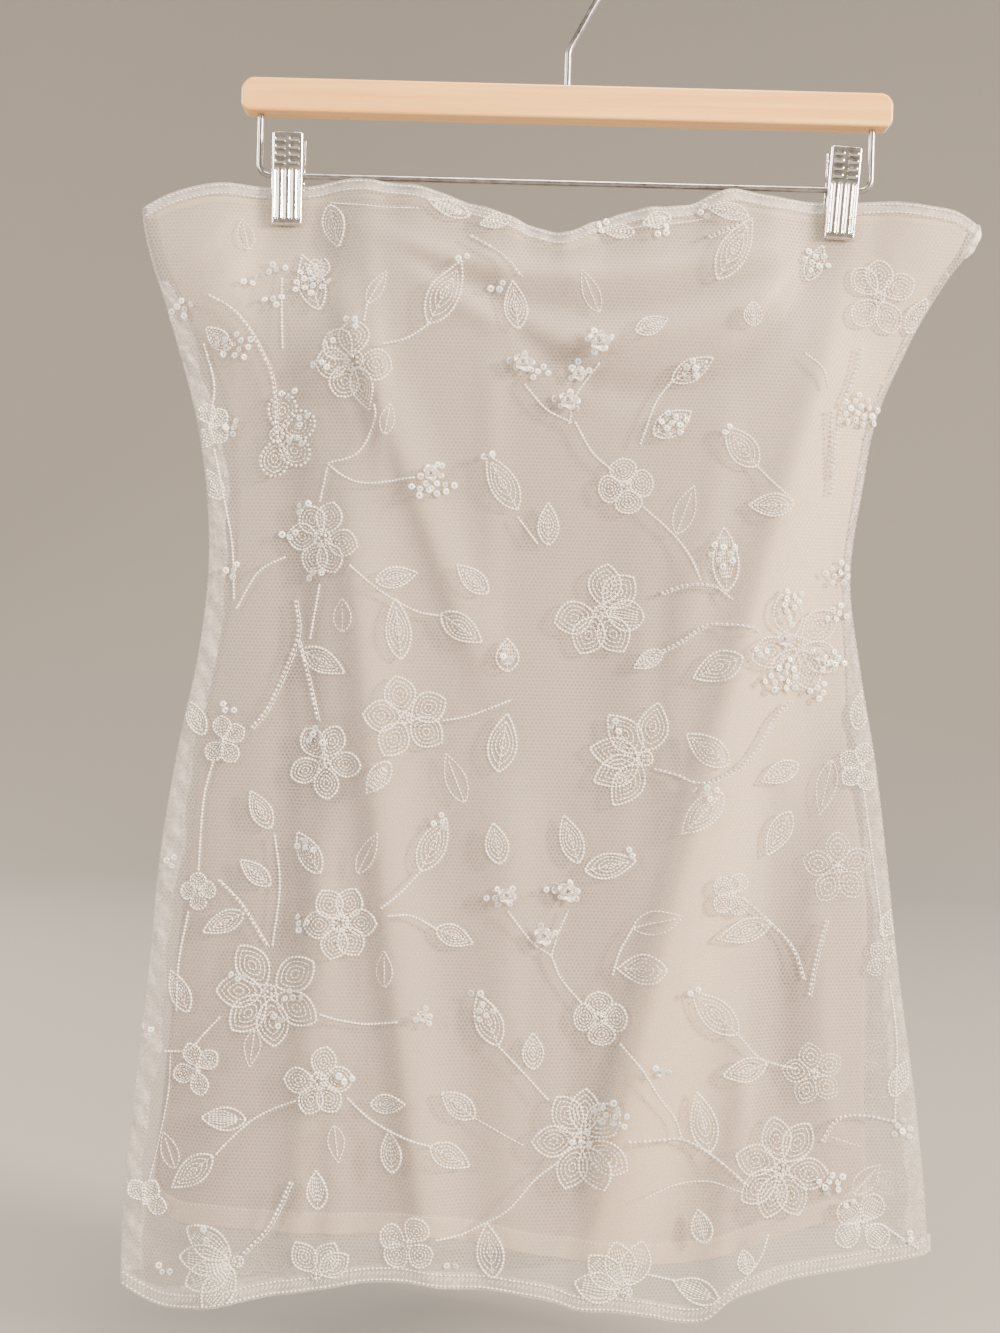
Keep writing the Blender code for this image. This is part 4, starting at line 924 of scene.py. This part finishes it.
# Stems: the stitch, then x and y of each point in turn.
STEMS = (
    ("chain", 430, 332, 410, 345, 385, 352), ("chain", 370, 312, 367, 330),
    ("beads", 210, 298, 235, 313, 253, 335, 265, 358, 275, 385, 278, 437), ("chain", 283, 280, 285, 353),
    ("chain", 377, 410, 377, 427, 360, 457, 330, 467), ("chain", 330, 467, 347, 480, 370, 487, 417, 482),
    ("chain", 517, 520, 537, 547), ("chain", 352, 567, 383, 593, 417, 612, 440, 617),
    ("chain", 287, 558, 260, 573, 237, 610), ("beads", 857, 350, 850, 380, 837, 413, 832, 447, 828, 497),
    ("beads", 827, 413, 828, 480), ("chain", 800, 358, 817, 373, 823, 393), ("beads", 703, 245, 740, 230),
    ("chain", 668, 387, 653, 407, 643, 433, 637, 450), ("chain", 573, 427, 590, 457, 610, 475),
    ("chain", 640, 510, 670, 537, 687, 560, 697, 583), ("chain", 753, 470, 770, 487, 788, 505),
    ("beads", 657, 595, 683, 587, 710, 588, 727, 600),
    ("beads", 297, 600, 300, 633, 290, 663, 270, 707, 253, 728), ("beads", 300, 640, 310, 677, 320, 720),
    ("chain", 443, 720, 470, 715, 510, 700), ("chain", 277, 833, 282, 883, 275, 943),
    ("chain", 422, 867, 403, 887, 383, 903), ("beads", 220, 877, 243, 900, 260, 927, 270, 943),
    ("chain", 390, 910, 413, 910, 437, 923),
    ("beads", 640, 667, 657, 653, 677, 642, 695, 630, 708, 625, 740, 627, 753, 633),
    ("beads", 650, 767, 673, 773, 690, 780, 707, 778, 737, 763, 757, 740, 770, 717, 787, 700),
    ("beads", 823, 917, 813, 953, 805, 993), ("beads", 737, 893, 770, 923, 790, 947, 800, 977),
    ("chain", 630, 923, 617, 947, 610, 970), ("chain", 550, 950, 560, 973, 580, 997),
    ("chain", 223, 1013, 207, 1030, 190, 1047, 165, 1050),
    ("chain", 323, 1007, 343, 1013, 370, 1017, 400, 1013),
    ("chain", 300, 1092, 260, 1110, 233, 1133, 220, 1147),
    ("chain", 350, 1088, 370, 1107, 393, 1120, 432, 1132), ("fine", 475, 1108, 523, 1133),
    ("chain", 498, 1037, 520, 1060, 547, 1090), ("beads", 295, 1170, 283, 1197, 270, 1220, 247, 1243),
    ("chain", 437, 1223, 463, 1220, 490, 1207, 510, 1193, 533, 1167, 557, 1150),
    ("chain", 617, 1035, 637, 1057, 653, 1083, 670, 1107, 677, 1127),
    ("beads", 623, 1127, 650, 1127, 677, 1128, 700, 1140, 723, 1157, 740, 1173),
    ("chain", 733, 1027, 753, 1050, 773, 1060, 793, 1065),
    ("beads", 817, 1137, 830, 1117, 847, 1112, 873, 1115, 893, 1120), ("fine", 827, 1132, 857, 1143),
    ("fine", 640, 1183, 673, 1172, 707, 1170, 737, 1180), ("chain", 640, 1258, 670, 1267),
    ("chain", 723, 1280, 753, 1247, 763, 1223), ("chain", 877, 1220, 917, 1247),
    ("chain", 205, 345, 215, 385, 212, 415), ("chain", 215, 450, 225, 500, 233, 545, 235, 600),
    ("chain", 215, 760, 205, 800, 200, 870), ("chain", 190, 910, 180, 960, 178, 1010),
    ("chain", 862, 790, 870, 850, 882, 940), ("chain", 888, 980, 895, 1040, 893, 1120),
    ("chain", 330, 470, 322, 505), ("chain", 322, 585, 312, 640), ("chain", 597, 370, 575, 400, 567, 430),
    ("chain", 523, 390, 545, 415, 570, 428), ("chain", 507, 905, 530, 935, 550, 950),
    ("chain", 567, 905, 556, 930, 550, 950), ("beads", 470, 243, 500, 262, 520, 285),
    ("fine", 150, 1180, 160, 1140, 170, 1090, 172, 1050), ("fine", 450, 208, 490, 222, 520, 232),
    ("fine", 620, 236, 660, 232, 700, 226), ("fine", 330, 205, 370, 212, 420, 216),
)
# Clusters of sequins: x, y and how many.
SEQUIN_CLUSTERS = (
    (237, 350, 12), (857, 413, 16), (670, 430, 9), (690, 377, 6), (813, 263, 8), (313, 285, 14),
    (720, 557, 9), (777, 680, 12), (830, 663, 8), (827, 1177, 8), (840, 575, 12), (610, 1103, 10),
    (278, 270, 4), (275, 305, 4), (252, 285, 3), (440, 818, 4), (310, 843, 4), (228, 708, 3), (495, 895, 4),
    (555, 884, 4), (297, 990, 4), (485, 1005, 5), (900, 1127, 6), (180, 310, 8), (233, 428, 4),
    (233, 570, 4), (535, 377, 6), (420, 495, 4), (445, 491, 5), (357, 330, 3), (333, 347, 3), (325, 370, 3),
    (290, 398, 3), (305, 422, 3), (300, 443, 3), (305, 508, 3), (290, 537, 3), (318, 575, 3), (612, 725, 3),
    (318, 735, 5), (305, 920, 4), (282, 1016, 3), (240, 973, 3), (347, 1070, 3), (597, 350, 8),
    (577, 378, 6), (567, 407, 7), (433, 478, 6), (523, 370, 7), (507, 890, 6), (567, 887, 7), (543, 930, 7),
    (425, 1007, 5), (655, 1060, 3), (580, 1130, 5), (700, 790, 5), (815, 690, 5), (790, 600, 6),
    (757, 655, 4), (430, 487, 3), (835, 615, 6), (168, 862, 4), (150, 940, 3), (905, 880, 4), (870, 700, 3),
    (150, 1030, 3), (905, 1236, 3), (660, 240, 3), (600, 232, 3), (700, 218, 3), (462, 268, 2),
    (497, 296, 3), (487, 462, 2), (722, 433, 2), (440, 470, 2), (505, 655, 3), (630, 850, 2), (478, 985, 2),
    (688, 985, 2), (213, 1225, 3), (165, 1265, 3), (450, 1250, 2), (845, 1200, 3),
)
# Raised blossoms: x, y and size.
TUFTS = (
    (523, 370, 1.0), (597, 350, 1.15), (567, 407, 1.0), (433, 478, 0.8), (577, 380, 0.8), (507, 890, 0.9),
    (567, 887, 1.1), (543, 930, 1.0), (425, 1007, 0.6), (655, 1060, 0.5), (780, 640, 0.8), (815, 655, 0.7),
)
PITCHES = {"chain": 1.9 * MM, "fine": 2.1 * MM, "beads": 2.7 * MM, "sequins": 3.5 * MM}
HATCH_LINES = (-0.72, -0.44, -0.2, 0, 0.2, 0.44, 0.72)
LEAF_POINT = 0.85
CLUSTER_SPREAD = 4.1
GOLDEN_ANGLE = math.radians(137.5)


def on_cloth(line):
    """Places in the photo turned upright about the bar's middle, and 0.55 mm of cloth to a pixel."""
    off = np.asarray(line, float) - BAR_MIDDLE
    x = PIXEL * (off[..., 0] * math.cos(PHOTO_ROLL) + off[..., 1] * math.sin(PHOTO_ROLL))
    down = PIXEL * (off[..., 1] * math.cos(PHOTO_ROLL) - off[..., 0] * math.sin(PHOTO_ROLL))
    return np.stack([x, BAR_MIDDLE_HEIGHT - down], axis=-1)


def headed(x, y, u, v, heading):
    """The places u along a heading and v to its left, counted from (x, y), with y down as in a photo."""
    turn = math.radians(heading)
    along_x = u * math.cos(turn) - v * math.sin(turn)
    along_y = u * math.sin(turn) + v * math.cos(turn)
    return np.stack([x + along_x, y - along_y], axis=1)


def petal_line(x, y, reach, width, point, heading, root=0.14, inset=1.0):
    """Round a petal: w sin(pi t^a)^b each side of its axis, t from root to tip, drawn in by inset about its
    middle. a runs from 1.3 for a round tip to 0.75 for a pointed one, and b from 0.5 to 0.95."""
    t = np.linspace(0, 1, 13)
    across = width * inset * np.sin(np.pi * t ** (1.3 - 0.55 * point)) ** (0.5 + 0.45 * point)
    middle = (1 + root) / 2
    along = reach * (middle + (root + (1 - root) * t - middle) * inset)
    u = np.concatenate([along, along[-2::-1]])
    v = np.concatenate([across, -across[-2::-1]])
    return headed(x, y, u, v, heading)


def ray_line(x, y, reach, heading, side_step, root=0.2):
    """A straight filling stitch line beside a petal's axis, from its root to 0.86 of its reach."""
    u = np.array([root, 0.5, 0.86]) * reach
    v = side_step * np.array([0.35, 1.0, 0.75])
    return headed(x, y, u, v, heading)


def smooth_line(points):
    """More points on a stem, each coordinate a cubic through the given ones."""
    points = np.asarray(points, float)
    if len(points) < 3:
        return points
    at = np.arange(len(points), dtype=float)
    fine = np.linspace(0, len(points) - 1, 6 * len(points))
    return np.stack([smooth_through(at, points[:, 0], fine), smooth_through(at, points[:, 1], fine)], axis=1)


def petal_stitches(x, y, reach, width, point, heading, filling, root=0.14):
    """The lines of one petal or leaf by stitch: its outline, and its filling as rings, rays or sequins."""
    shape = (x, y, reach, width, point, heading, root)
    edge = "beads" if filling == "beads" else "fine" if filling in ("thin", "dots") else "chain"
    lines = [(edge, petal_line(*shape))]
    if filling in ("rings", "beads"):
        lines += [("fine", petal_line(*shape, inset=inset)) for inset in (0.74, 0.48, 0.22)]
    if filling == "dots":
        lines += [("fine", petal_line(*shape, inset=inset)) for inset in (0.66, 0.3)]
    if filling == "hatch":
        lines += [("fine", ray_line(x, y, reach, heading, width * share)) for share in HATCH_LINES]
    if filling == "sequins":
        lines += [("sequins", ray_line(x, y, reach, heading, 0.0, 0.3))]
        lines += [("fine", petal_line(*shape, inset=0.6))]
    if filling == "thin":
        lines += [("fine", ray_line(x, y, reach, heading, 0.0, root))]
    return lines


def spray_lines():
    """Every line of the embroidery, in the photo's pixels, as (stitch, points)."""
    lines = []
    for x, y, reach, width, point, heart, filling, directions in FLOWERS:
        for heading in directions:
            lines += petal_stitches(x, y, reach, width, point, heading, filling)
        if heart:
            turn = np.linspace(0, 2 * np.pi, 13)
            rim = np.stack([x + heart * np.cos(turn), y + heart * np.sin(turn)], axis=1)
            lines += [("chain", rim), ("beads", (rim - (x, y)) * 0.45 + (x, y))]
    for tip_x, tip_y, root_x, root_y, width, filling in LEAVES:
        reach = math.hypot(tip_x - root_x, tip_y - root_y)
        heading = math.degrees(math.atan2(root_y - tip_y, tip_x - root_x))
        lines += petal_stitches(root_x, root_y, reach, width, LEAF_POINT, heading, filling, root=0.0)
        lines.append(("fine", ray_line(root_x, root_y, reach, heading, 0.0, 0.0)))
    for stitch, *places in STEMS:
        line = smooth_line(np.reshape(places, (-1, 2)))
        lines.append((stitch, line))
        if stitch == "beads":
            lines.append(("fine", line + (2.6, 1.2)))
    return lines


def spread(line, pitch):
    """Places a pitch apart along a line, each with the line's heading there."""
    steps = np.linalg.norm(np.diff(line, axis=0), axis=1)
    run = np.concatenate([[0], np.cumsum(steps)])
    count = max(1, int(round(run[-1] / pitch)))
    at = (np.arange(count) + 0.5) * run[-1] / count
    before = np.maximum(at - 0.3 * pitch, 0)
    after = np.minimum(at + 0.3 * pitch, run[-1])
    ahead = [np.interp(after, run, line[:, i]) - np.interp(before, run, line[:, i]) for i in (0, 1)]
    return np.stack([np.interp(at, run, line[:, 0]), np.interp(at, run, line[:, 1]),
                     np.arctan2(ahead[1], ahead[0])], axis=1)


def clusters():
    """Sequins of each cluster on a spiral: radius 4.1 px times the root of the count so far, each turned by
    137.5 degrees from the last, and the whole drawn out by 1.35 sideways."""
    places = []
    for x, y, count in SEQUIN_CLUSTERS:
        k = np.arange(count)
        away = CLUSTER_SPREAD * np.sqrt(k + 0.3)
        turn = GOLDEN_ANGLE * k + x
        places.append(np.stack([x + 1.35 * away * np.cos(turn), y + away * np.sin(turn)], axis=1))
    return on_cloth(np.concatenate(places))


# The back panel was cut from the same cloth, so it has the same sprays the other way round and 31 mm lower.
BACK_SHIFT = np.array([22.0, -31.0]) * MM
BACK_REPEAT = 590 * MM
BACK_LOWEST = -745 * MM
# No two stitches lie quite alike: the spread of their headings, in radians, and of their sizes. And no lump
# stands steeper on a fold than this slope.
UNEVEN_HEADING = 0.09
UNEVEN_SIZE = 0.1
STEEPEST = 1.2


def for_face(face, places):
    """The places of a line on the front, or on the back: mirrored, moved, and brought round by one repeat."""
    if face == "front":
        return places
    moved = places * (-1, 1) + BACK_SHIFT
    lift = BACK_REPEAT if moved[:, 1].mean() < BACK_LOWEST else 0
    return moved + (0, lift)


def inside_tulle(face, x, z, margin=1.2 * MM):
    """Whether a place lies on the tulle, clear of its sides, neckline and hem, and of the clips' jaws."""
    within = (x > side("tulle_left", z) + margin) & (x < side("tulle_right", z) - margin)
    within &= (z < neck_height(face, x) - margin) & (z > tulle_hem(face, x) + margin)
    beside_jaws = np.abs(np.abs(x) - CLIP_CENTRE) > CLIP_HALF_WIDTH + 2 * MM
    return within & (beside_jaws | (z < JAW_BOTTOM - 2.5 * MM))


def repeated(faces, each, count):
    """The faces of count copies of a shape, whose points follow one another in the mesh, each to a copy."""
    return (faces[None] + each * np.arange(count)[:, None, None]).reshape(-1, faces.shape[1])


def lumps(name, template, faces, sizes, place, ahead, out, tone, stuff):
    """A copy of a template at every place: place + a (along) + o (out of the cloth) + b (square to both)."""
    axes = np.stack([ahead, out, np.cross(ahead, out)], axis=1)
    points = place[:, None, :] + (template[None, :, :] * sizes[:, None, :]) @ axes
    piece = mesh_piece(name, points, repeated(faces, len(template), len(place)), stuff)
    shade_attribute(piece, "tone", np.repeat(tone, len(template)))
    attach(piece, "root")
    return piece


def sewn(name, face, rows, template, faces, sizes, stuff, lift, tilt=0.0, depth_at=tulle_depth):
    """One lump of a template at every row of (x, z, heading), set square to the tulle's outer side.
    The tulle is y = f d(x, z), so its outward direction there is (-dd/dx, f, -dd/dz) scaled to 1."""
    rows = rows[inside_tulle(face, rows[:, 0], rows[:, 1])]
    chance = np.random.default_rng(len(rows) + len(name))
    x, z, heading = rows.T
    heading = heading + chance.normal(0, UNEVEN_HEADING, len(x))
    f = OUTWARD[face]
    reach = 0.7 * MM
    slope_x = (depth_at(face, x + reach, z) - depth_at(face, x - reach, z)) / (2 * reach)
    slope_z = (depth_at(face, x, z + reach) - depth_at(face, x, z - reach)) / (2 * reach)
    slopes = np.clip([slope_x, slope_z], -STEEPEST, STEEPEST)
    out = np.stack([-slopes[0], np.full(len(x), float(f)), -slopes[1]], axis=1)
    out += tilt * chance.normal(0, 1, out.shape)
    out /= np.linalg.norm(out, axis=1, keepdims=True)
    ahead = np.stack([np.cos(heading), 0 * x, np.sin(heading)], axis=1)
    ahead -= out * np.sum(out * ahead, axis=1, keepdims=True)
    ahead /= np.linalg.norm(ahead, axis=1, keepdims=True)
    sizes = sizes * (1 + chance.uniform(-UNEVEN_SIZE, UNEVEN_SIZE, (len(x), 1)))
    place = np.stack([x, f * (depth_at(face, x, z) + lift), z], axis=1)
    return lumps(name, template, faces, sizes, place, ahead, out, chance.uniform(0, 1, len(x)), stuff)


# A lump of thread: two ends, two sides, a crown and a flat foot. Its axes are along, out of and beside the
# line of stitches.
LUMP = (
    np.array([[-1, 0, 0], [1, 0, 0], [0, 0, -1], [0, 0, 1], [0, 1, 0], [0, -0.25, 0]], float),
    np.array([[2, 4, 0], [1, 4, 2], [3, 4, 1], [0, 4, 3], [5, 2, 0], [5, 1, 2], [5, 3, 1], [5, 0, 3]]),
)
CHAIN_SIZE = np.array([1.35, 1.0, 0.85]) * MM
FINE_SIZE = np.array([1.4, 0.6, 0.48]) * MM
BEAD_RADIUS = 0.92 * MM
SEQUIN_RADIUS = 1.85 * MM
SEQUIN_TILT = 0.26
THREAD_LIFT = 0.05 * MM
PETAL_WALL = 0.15 * MM


def turned_lump(radius, height, steps):
    """A turned profile with its axis out of the cloth: (r cos a, h, r sin a), and its quads."""
    points, quads = turned_profile(radius, height, steps)
    return points.reshape(-1, 3)[:, [0, 2, 1]], quads


# A bead is a ball of five rings with its thread hole left open. A sequin is a cupped disc 0.06 R thick with a
# hole, whose rim stands 0.28 R further out of the cloth than its hole.
up = np.radians([-75, -40, 0, 40, 75])
BEAD = turned_lump(np.cos(up), np.sin(up), 8)
SEQUIN = turned_lump([0.3, 1.0, 1.0, 0.3, 0.3], [0.1, 0.38, 0.32, 0.04, 0.1], 10)


def toned(name, colour, roughness, stops, **sockets):
    """A material whose colour runs through stops by the tone of each stitch, bead or sequin."""
    made, tree, shader = finish(name, colour, roughness, **sockets)
    tone = node(tree, "ShaderNodeAttribute", attribute_name="tone")
    tint = node(tree, "ShaderNodeValToRGB", {"Fac": tone.outputs["Fac"]}, stops=stops)
    join(tree, shader, {"Base Color": tint.outputs["Color"]})
    return made, tree, shader


# Rayon machine thread: off-white with a silky highlight, a little lighter or darker from stitch to stitch.
# Strands lie 0.4 mm apart in the thread; drawn at 0.8 mm so that they show.
thread, tree, shader = toned("off_white_rayon_thread", "#F3EBE1", 0.36, ((0.0, "#F3EADF"), (1.0, "#FFFDF8")),
                             Sheen_Weight=0.35)
place = node(tree, "ShaderNodeTexCoord").outputs["Object"]
twist = node(tree, "ShaderNodeTexWave", {"Vector": place, "Scale": 2 * math.pi / (20 * 0.8 * MM)},
             bands_direction="DIAGONAL")
ply = node(tree, "ShaderNodeBump", {"Height": twist.outputs["Fac"], "Strength": 0.3, "Distance": 0.1 * MM})
join(tree, shader, {"Normal": ply.outputs["Normal"]})

# Clear PVC sequins with a thin pearly coating: near-mirror, with faint pink and green tints from one to
# the next.
film, *_ = toned("pearly_clear_sequin", "#F7F4F2", 0.14,
                 ((0.0, "#F4E9E6"), (0.3, "#ECEFF2"), (0.55, "#F7F1E6"), (0.8, "#EDF3EF"), (1.0, "#FFFFFF")),
                 Coat_Weight=0.8, Coat_Roughness=0.06)

# Pearl-finished glass beads: milky white, smooth and glossy.
pearl, *_ = toned("pearl_glass_bead", "#F1ECE6", 0.16, ((0.0, "#E3DAD2"), (1.0, "#FFFDFA")),
                  Coat_Weight=0.6, Coat_Roughness=0.05)


# The petals of a raised blossom: direction and rise off the cloth in degrees, and length in millimetres.
BLOSSOM_PETALS = (
    (5, 24, 6.0), (80, 30, 5.5), (150, 20, 6.4), (220, 28, 5.6), (290, 25, 6.1),
    (40, 62, 4.2), (160, 55, 4.5), (280, 66, 4.0),
)


def blossom_points(face, x, z, size):
    """A blossom of organza petals standing off the cloth: eight cupped petals in two rounds, each a grid of
    (reach s, width w sin(pi (0.08 + 0.84 s)), out of the cloth by s sin(rise) plus a cup of c^2)."""
    s = np.linspace(0, 1, 5)[:, None]
    c = np.linspace(-1, 1, 5)[None, :]
    shapes = []
    for turn, rise, long in BLOSSOM_PETALS:
        turn, rise = math.radians(turn), math.radians(rise)
        reach = long * MM * size * s
        width = 2.6 * MM * size * np.sin(np.pi * (0.08 + 0.84 * s)) * c
        cup = 0.9 * MM * size * c**2 * s
        along = reach * math.cos(rise) - cup * math.sin(rise)
        out = reach * math.sin(rise) + cup * math.cos(rise) + 0.2 * MM
        shapes.append(np.stack([along * math.cos(turn) - width * math.sin(turn), out + 0 * c,
                                along * math.sin(turn) + width * math.cos(turn)], axis=-1))
    f = OUTWARD[face]
    base = np.array([x, f * float(tulle_depth(face, np.array(x), np.array(z))), z])
    return np.stack(shapes) * (1, f, 1) + base


# Stiff organza: whitish and slightly shiny, with cloudy patches of 2.4 mm where its two layers lie together.
organza, tree, shader = finish("stiff_organza_petal", "#F6F0EA", 0.42, Sheen_Weight=0.4)
place = node(tree, "ShaderNodeTexCoord").outputs["Object"]
clouds = node(tree, "ShaderNodeTexNoise", {"Vector": place, "Scale": 1 / (2.38 * MM), "Detail": 2.0})
tint = node(tree, "ShaderNodeValToRGB", {"Fac": clouds.outputs["Fac"]},
            stops=((0.35, "#E9E0D9"), (0.65, "#FFFBF7")))
join(tree, shader, {"Base Color": tint.outputs["Color"]})

sprays = spray_lines()
cluster_places = clusters()
trimmings = {"front": [], "back": []}
for face in ("front", "back"):
    rows = {stitch: [] for stitch in PITCHES}
    for stitch, line in sprays:
        rows[stitch].append(spread(for_face(face, on_cloth(line)), PITCHES[stitch]))
    loose = np.concatenate([for_face(face, place[None, :]) for place in cluster_places])
    rows["sequins"].append(np.concatenate([loose, np.zeros((len(loose), 1))], axis=1))
    rows = {stitch: np.concatenate(found) for stitch, found in rows.items()}
    trimmings[face] += [
        sewn(f"chain_stitch_{face}", face, rows["chain"], *LUMP, CHAIN_SIZE, thread, THREAD_LIFT),
        sewn(f"filling_stitch_{face}", face, rows["fine"], *LUMP, FINE_SIZE, thread, THREAD_LIFT),
        sewn(f"beads_{face}", face, rows["beads"], *BEAD, np.full(3, BEAD_RADIUS), pearl, 0.6 * MM),
        sewn(f"sequins_{face}", face, rows["sequins"], *SEQUIN, np.full(3, SEQUIN_RADIUS), film, 0.35 * MM,
             tilt=SEQUIN_TILT),
    ]
    blossoms = []
    for x, y, size in TUFTS:
        place = for_face(face, on_cloth([[x, y]]))[0]
        blossoms.append(blossom_points(face, *place, size))
    petals = np.concatenate(blossoms)
    petal_faces = repeated(grid_faces(5, 5), 25, len(petals))
    blossom = mesh_piece(f"raised_blossoms_{face}", petals, petal_faces, organza)
    petal_wall = blossom.modifiers.new("wall", "SOLIDIFY")
    petal_wall.thickness = PETAL_WALL
    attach(blossom, "root")
    trimmings[face].append(blossom)

# Seams and hems. The tulle's neckline, hem and side seams are overlocked with the same thread: a turned band
# of doubled net held by rows of stitches, and inside each side seam a crumpled allowance of net.
HEM_BAND = 9.5 * MM
NECK_BAND = 6.5 * MM
SEAM_TOP = -196 * MM
SEAM_BOTTOMS = {"left": -740 * MM, "right": -713 * MM}
ROLL_TOP = -153 * MM
ROLL_LENGTH = 19 * MM
SLANT = 1.1
SLANT_SIZE = np.array([2.6, 0.3, 0.26]) * MM
SEAM_LOCK_SIZE = np.array([2.2, 0.8, 0.4]) * MM

# Two to four layers of the net folded together: whiter and denser than one, in crumples of 3 mm.
turned_net, tree, shader = finish("doubled_tulle_band", "#EDEAE8", 0.5, Sheen_Weight=0.3)
place = node(tree, "ShaderNodeTexCoord").outputs["Object"]
crumple = node(tree, "ShaderNodeTexNoise", {"Vector": place, "Scale": 1 / (3.03 * MM), "Detail": 3.0})
cover = node(tree, "ShaderNodeMapRange", {"Value": crumple.outputs["Fac"], "From Min": 0.35, "From Max": 0.65,
                                          "To Min": 0.42, "To Max": 0.86})
tint = node(tree, "ShaderNodeValToRGB", {"Fac": crumple.outputs["Fac"]},
            stops=((0.3, "#CECAC8"), (0.7, "#EBE8E6")))
join(tree, shader, {"Alpha": cover.outputs["Result"], "Base Color": tint.outputs["Color"]})


def band(name, face, x, top, bottom, inside, wave):
    """A strip of doubled net between two heights for each x, at the tulle's depth less inside, with a ripple
    of wave sin(x / 1.9 mm + 5 s + 2 sin(x / 7 mm)) on it."""
    share = np.linspace(0, 1, 7)[:, None]
    z = top * (1 - share) + bottom * share
    x = np.broadcast_to(x, z.shape)
    ripple = wave * np.sin(x / (1.9 * MM) + 5 * share + 2 * np.sin(x / (7 * MM)))
    return cloth_panel(name, face, x, tulle_depth(face, x, z) - inside + ripple, z, 0, turned_net)


def edge_rows(face, height_at, low, high, pitch):
    """Overlock: a row of stitches at each of two heights off an edge, and slanting ones between them."""
    x = np.arange(-229, 229, pitch) * MM
    height = height_at(face, x)
    rows = [np.stack([x, height + off * MM, 0 * x], axis=1) for off in (low, high)]
    slanted = np.stack([x, height + (low + high) / 2 * MM, 0 * x + SLANT], axis=1)
    return np.concatenate(rows), slanted


for face in ("front", "back"):
    x = np.linspace(-227, 216, 420) * MM
    height = tulle_hem(face, x)
    hem_band = band(f"hem_band_{face}", face, x, height + HEM_BAND, height + 0.2 * MM, 0.5 * MM, 0.2 * MM)
    x = np.linspace(-229, 226, 420) * MM
    height = neck_height(face, x)
    neck_band = band(f"neck_band_{face}", face, x, height - 0.2 * MM, height - NECK_BAND, 0.4 * MM, 0.12 * MM)
    straight, slanted = edge_rows(face, tulle_hem, 1.6, 7.6, 2.3)
    hem_rows = sewn(f"hem_stitches_{face}", face, straight, *LUMP, CHAIN_SIZE * 0.8, thread, THREAD_LIFT)
    hem_lock = sewn(f"hem_overlock_{face}", face, slanted, *LUMP, SLANT_SIZE, thread, THREAD_LIFT)
    straight, slanted = edge_rows(face, neck_height, -1.5, -5.8, 2.4)
    neck_rows = sewn(f"neck_stitches_{face}", face, straight, *LUMP, FINE_SIZE, thread, THREAD_LIFT)
    # The lining's hem is held by one row of short stitches through both layers.
    x = np.arange(-200, 172, 2.4) * MM
    height = lining_hem(face, x) + LINING_HEM_BAND - 0.8 * MM
    row = np.stack([x, height, np.gradient(height, x)], axis=1)
    row = row[(x > side("lining_left", height) + 3 * MM) & (x < side("lining_right", height) - 3 * MM)]
    sewn(f"lining_hem_stitches_{face}", face, row, *LUMP, FINE_SIZE * 0.7, thread, LINING_WALL + 0.35 * MM,
         depth_at=lining_depth)
    for piece in (hem_band, neck_band):
        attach(piece, "root")
    trimmings[face] += [hem_band, neck_band, hem_rows, hem_lock, neck_rows]


def allowance(name, way):
    """The seam allowance inside one side seam: a strip in the middle plane, from the seam to an uneven inner
    edge, crumpled as y = 0.75 mm (sin(z / 2.3 mm + 4 s) + sin(z / 5.1 mm + 2 s)) away from the seam."""
    z = np.linspace(SEAM_TOP, SEAM_BOTTOMS[name], 420)[:, None]
    share = np.linspace(0, 1, 9)[None, :]
    tulle_edge = side("tulle_" + name, z)
    room = np.abs(side("lining_" + name, z) - tulle_edge) - 1.2 * MM
    wide = np.minimum(room, 11 * MM + 1.6 * MM * np.sin(z / (17 * MM)) + 1.0 * MM * np.sin(z / (6.3 * MM)))
    x = tulle_edge - way * (0.5 * MM + (np.maximum(wide, 2 * MM) - 0.5 * MM) * share)
    swing = np.sin(z / (2.3 * MM) + 4 * share) + np.sin(z / (5.1 * MM) + 2 * share)
    y = 0.75 * MM * swing * step(share / 0.35)
    return np.stack([x, y, np.broadcast_to(z, x.shape)], axis=-1)


for name, way in (("left", -1), ("right", 1)):
    strip = allowance(name, way)
    piece = mesh_piece(f"seam_allowance_{name}", strip, grid_faces(*strip.shape[:2]), turned_net)
    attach(piece, "root")
    # Overlock along the allowance's inner edge: slanting stitches that pass over it, alternately up and down.
    edge = strip[::2, -2]
    count = np.arange(len(edge))
    lean = np.where(count % 2 == 0, 0.6, -0.6)
    ahead = np.stack([np.cos(lean), 0 * lean, np.sin(lean)], axis=1)
    out = np.tile([0.0, -1.0, 0.0], (len(edge), 1))
    sizes = np.tile(SEAM_LOCK_SIZE, (len(edge), 1))
    tone = 0.5 + 0.4 * np.sin(1.7 * count)
    lumps(f"seam_overlock_{name}", *LUMP, sizes, edge, ahead, out, tone, thread)

# The end of the neckline's band, folded over twice at the right side seam: a small crumpled roll of net.
# Its section is an oval of 3.2 by 2.6 mm that swells to the middle, crinkled by two sine waves round it.
turn = np.linspace(0, 2 * np.pi, 32, endpoint=False)
run = np.linspace(0, 1, 21)[:, None]
swell = np.sin(np.pi * (0.04 + 0.92 * run)) ** 0.5
crinkle = swell * (1 + 0.16 * np.sin(5 * turn + 9 * run) + 0.1 * np.sin(9 * turn - 6 * run))
roll_z = ROLL_TOP - ROLL_LENGTH * run
roll_x = side("tulle_right", roll_z) - 0.6 * MM + 3.2 * MM * crinkle * np.cos(turn)
roll_y = 2.6 * MM * crinkle * np.sin(turn)
roll = np.stack([roll_x, roll_y, roll_z + 0 * turn], axis=-1)
fold_end = mesh_piece("seam_end_roll", roll, grid_faces(*roll.shape[:2], wrap=True)[:, ::-1], turned_net)
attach(fold_end, "root")
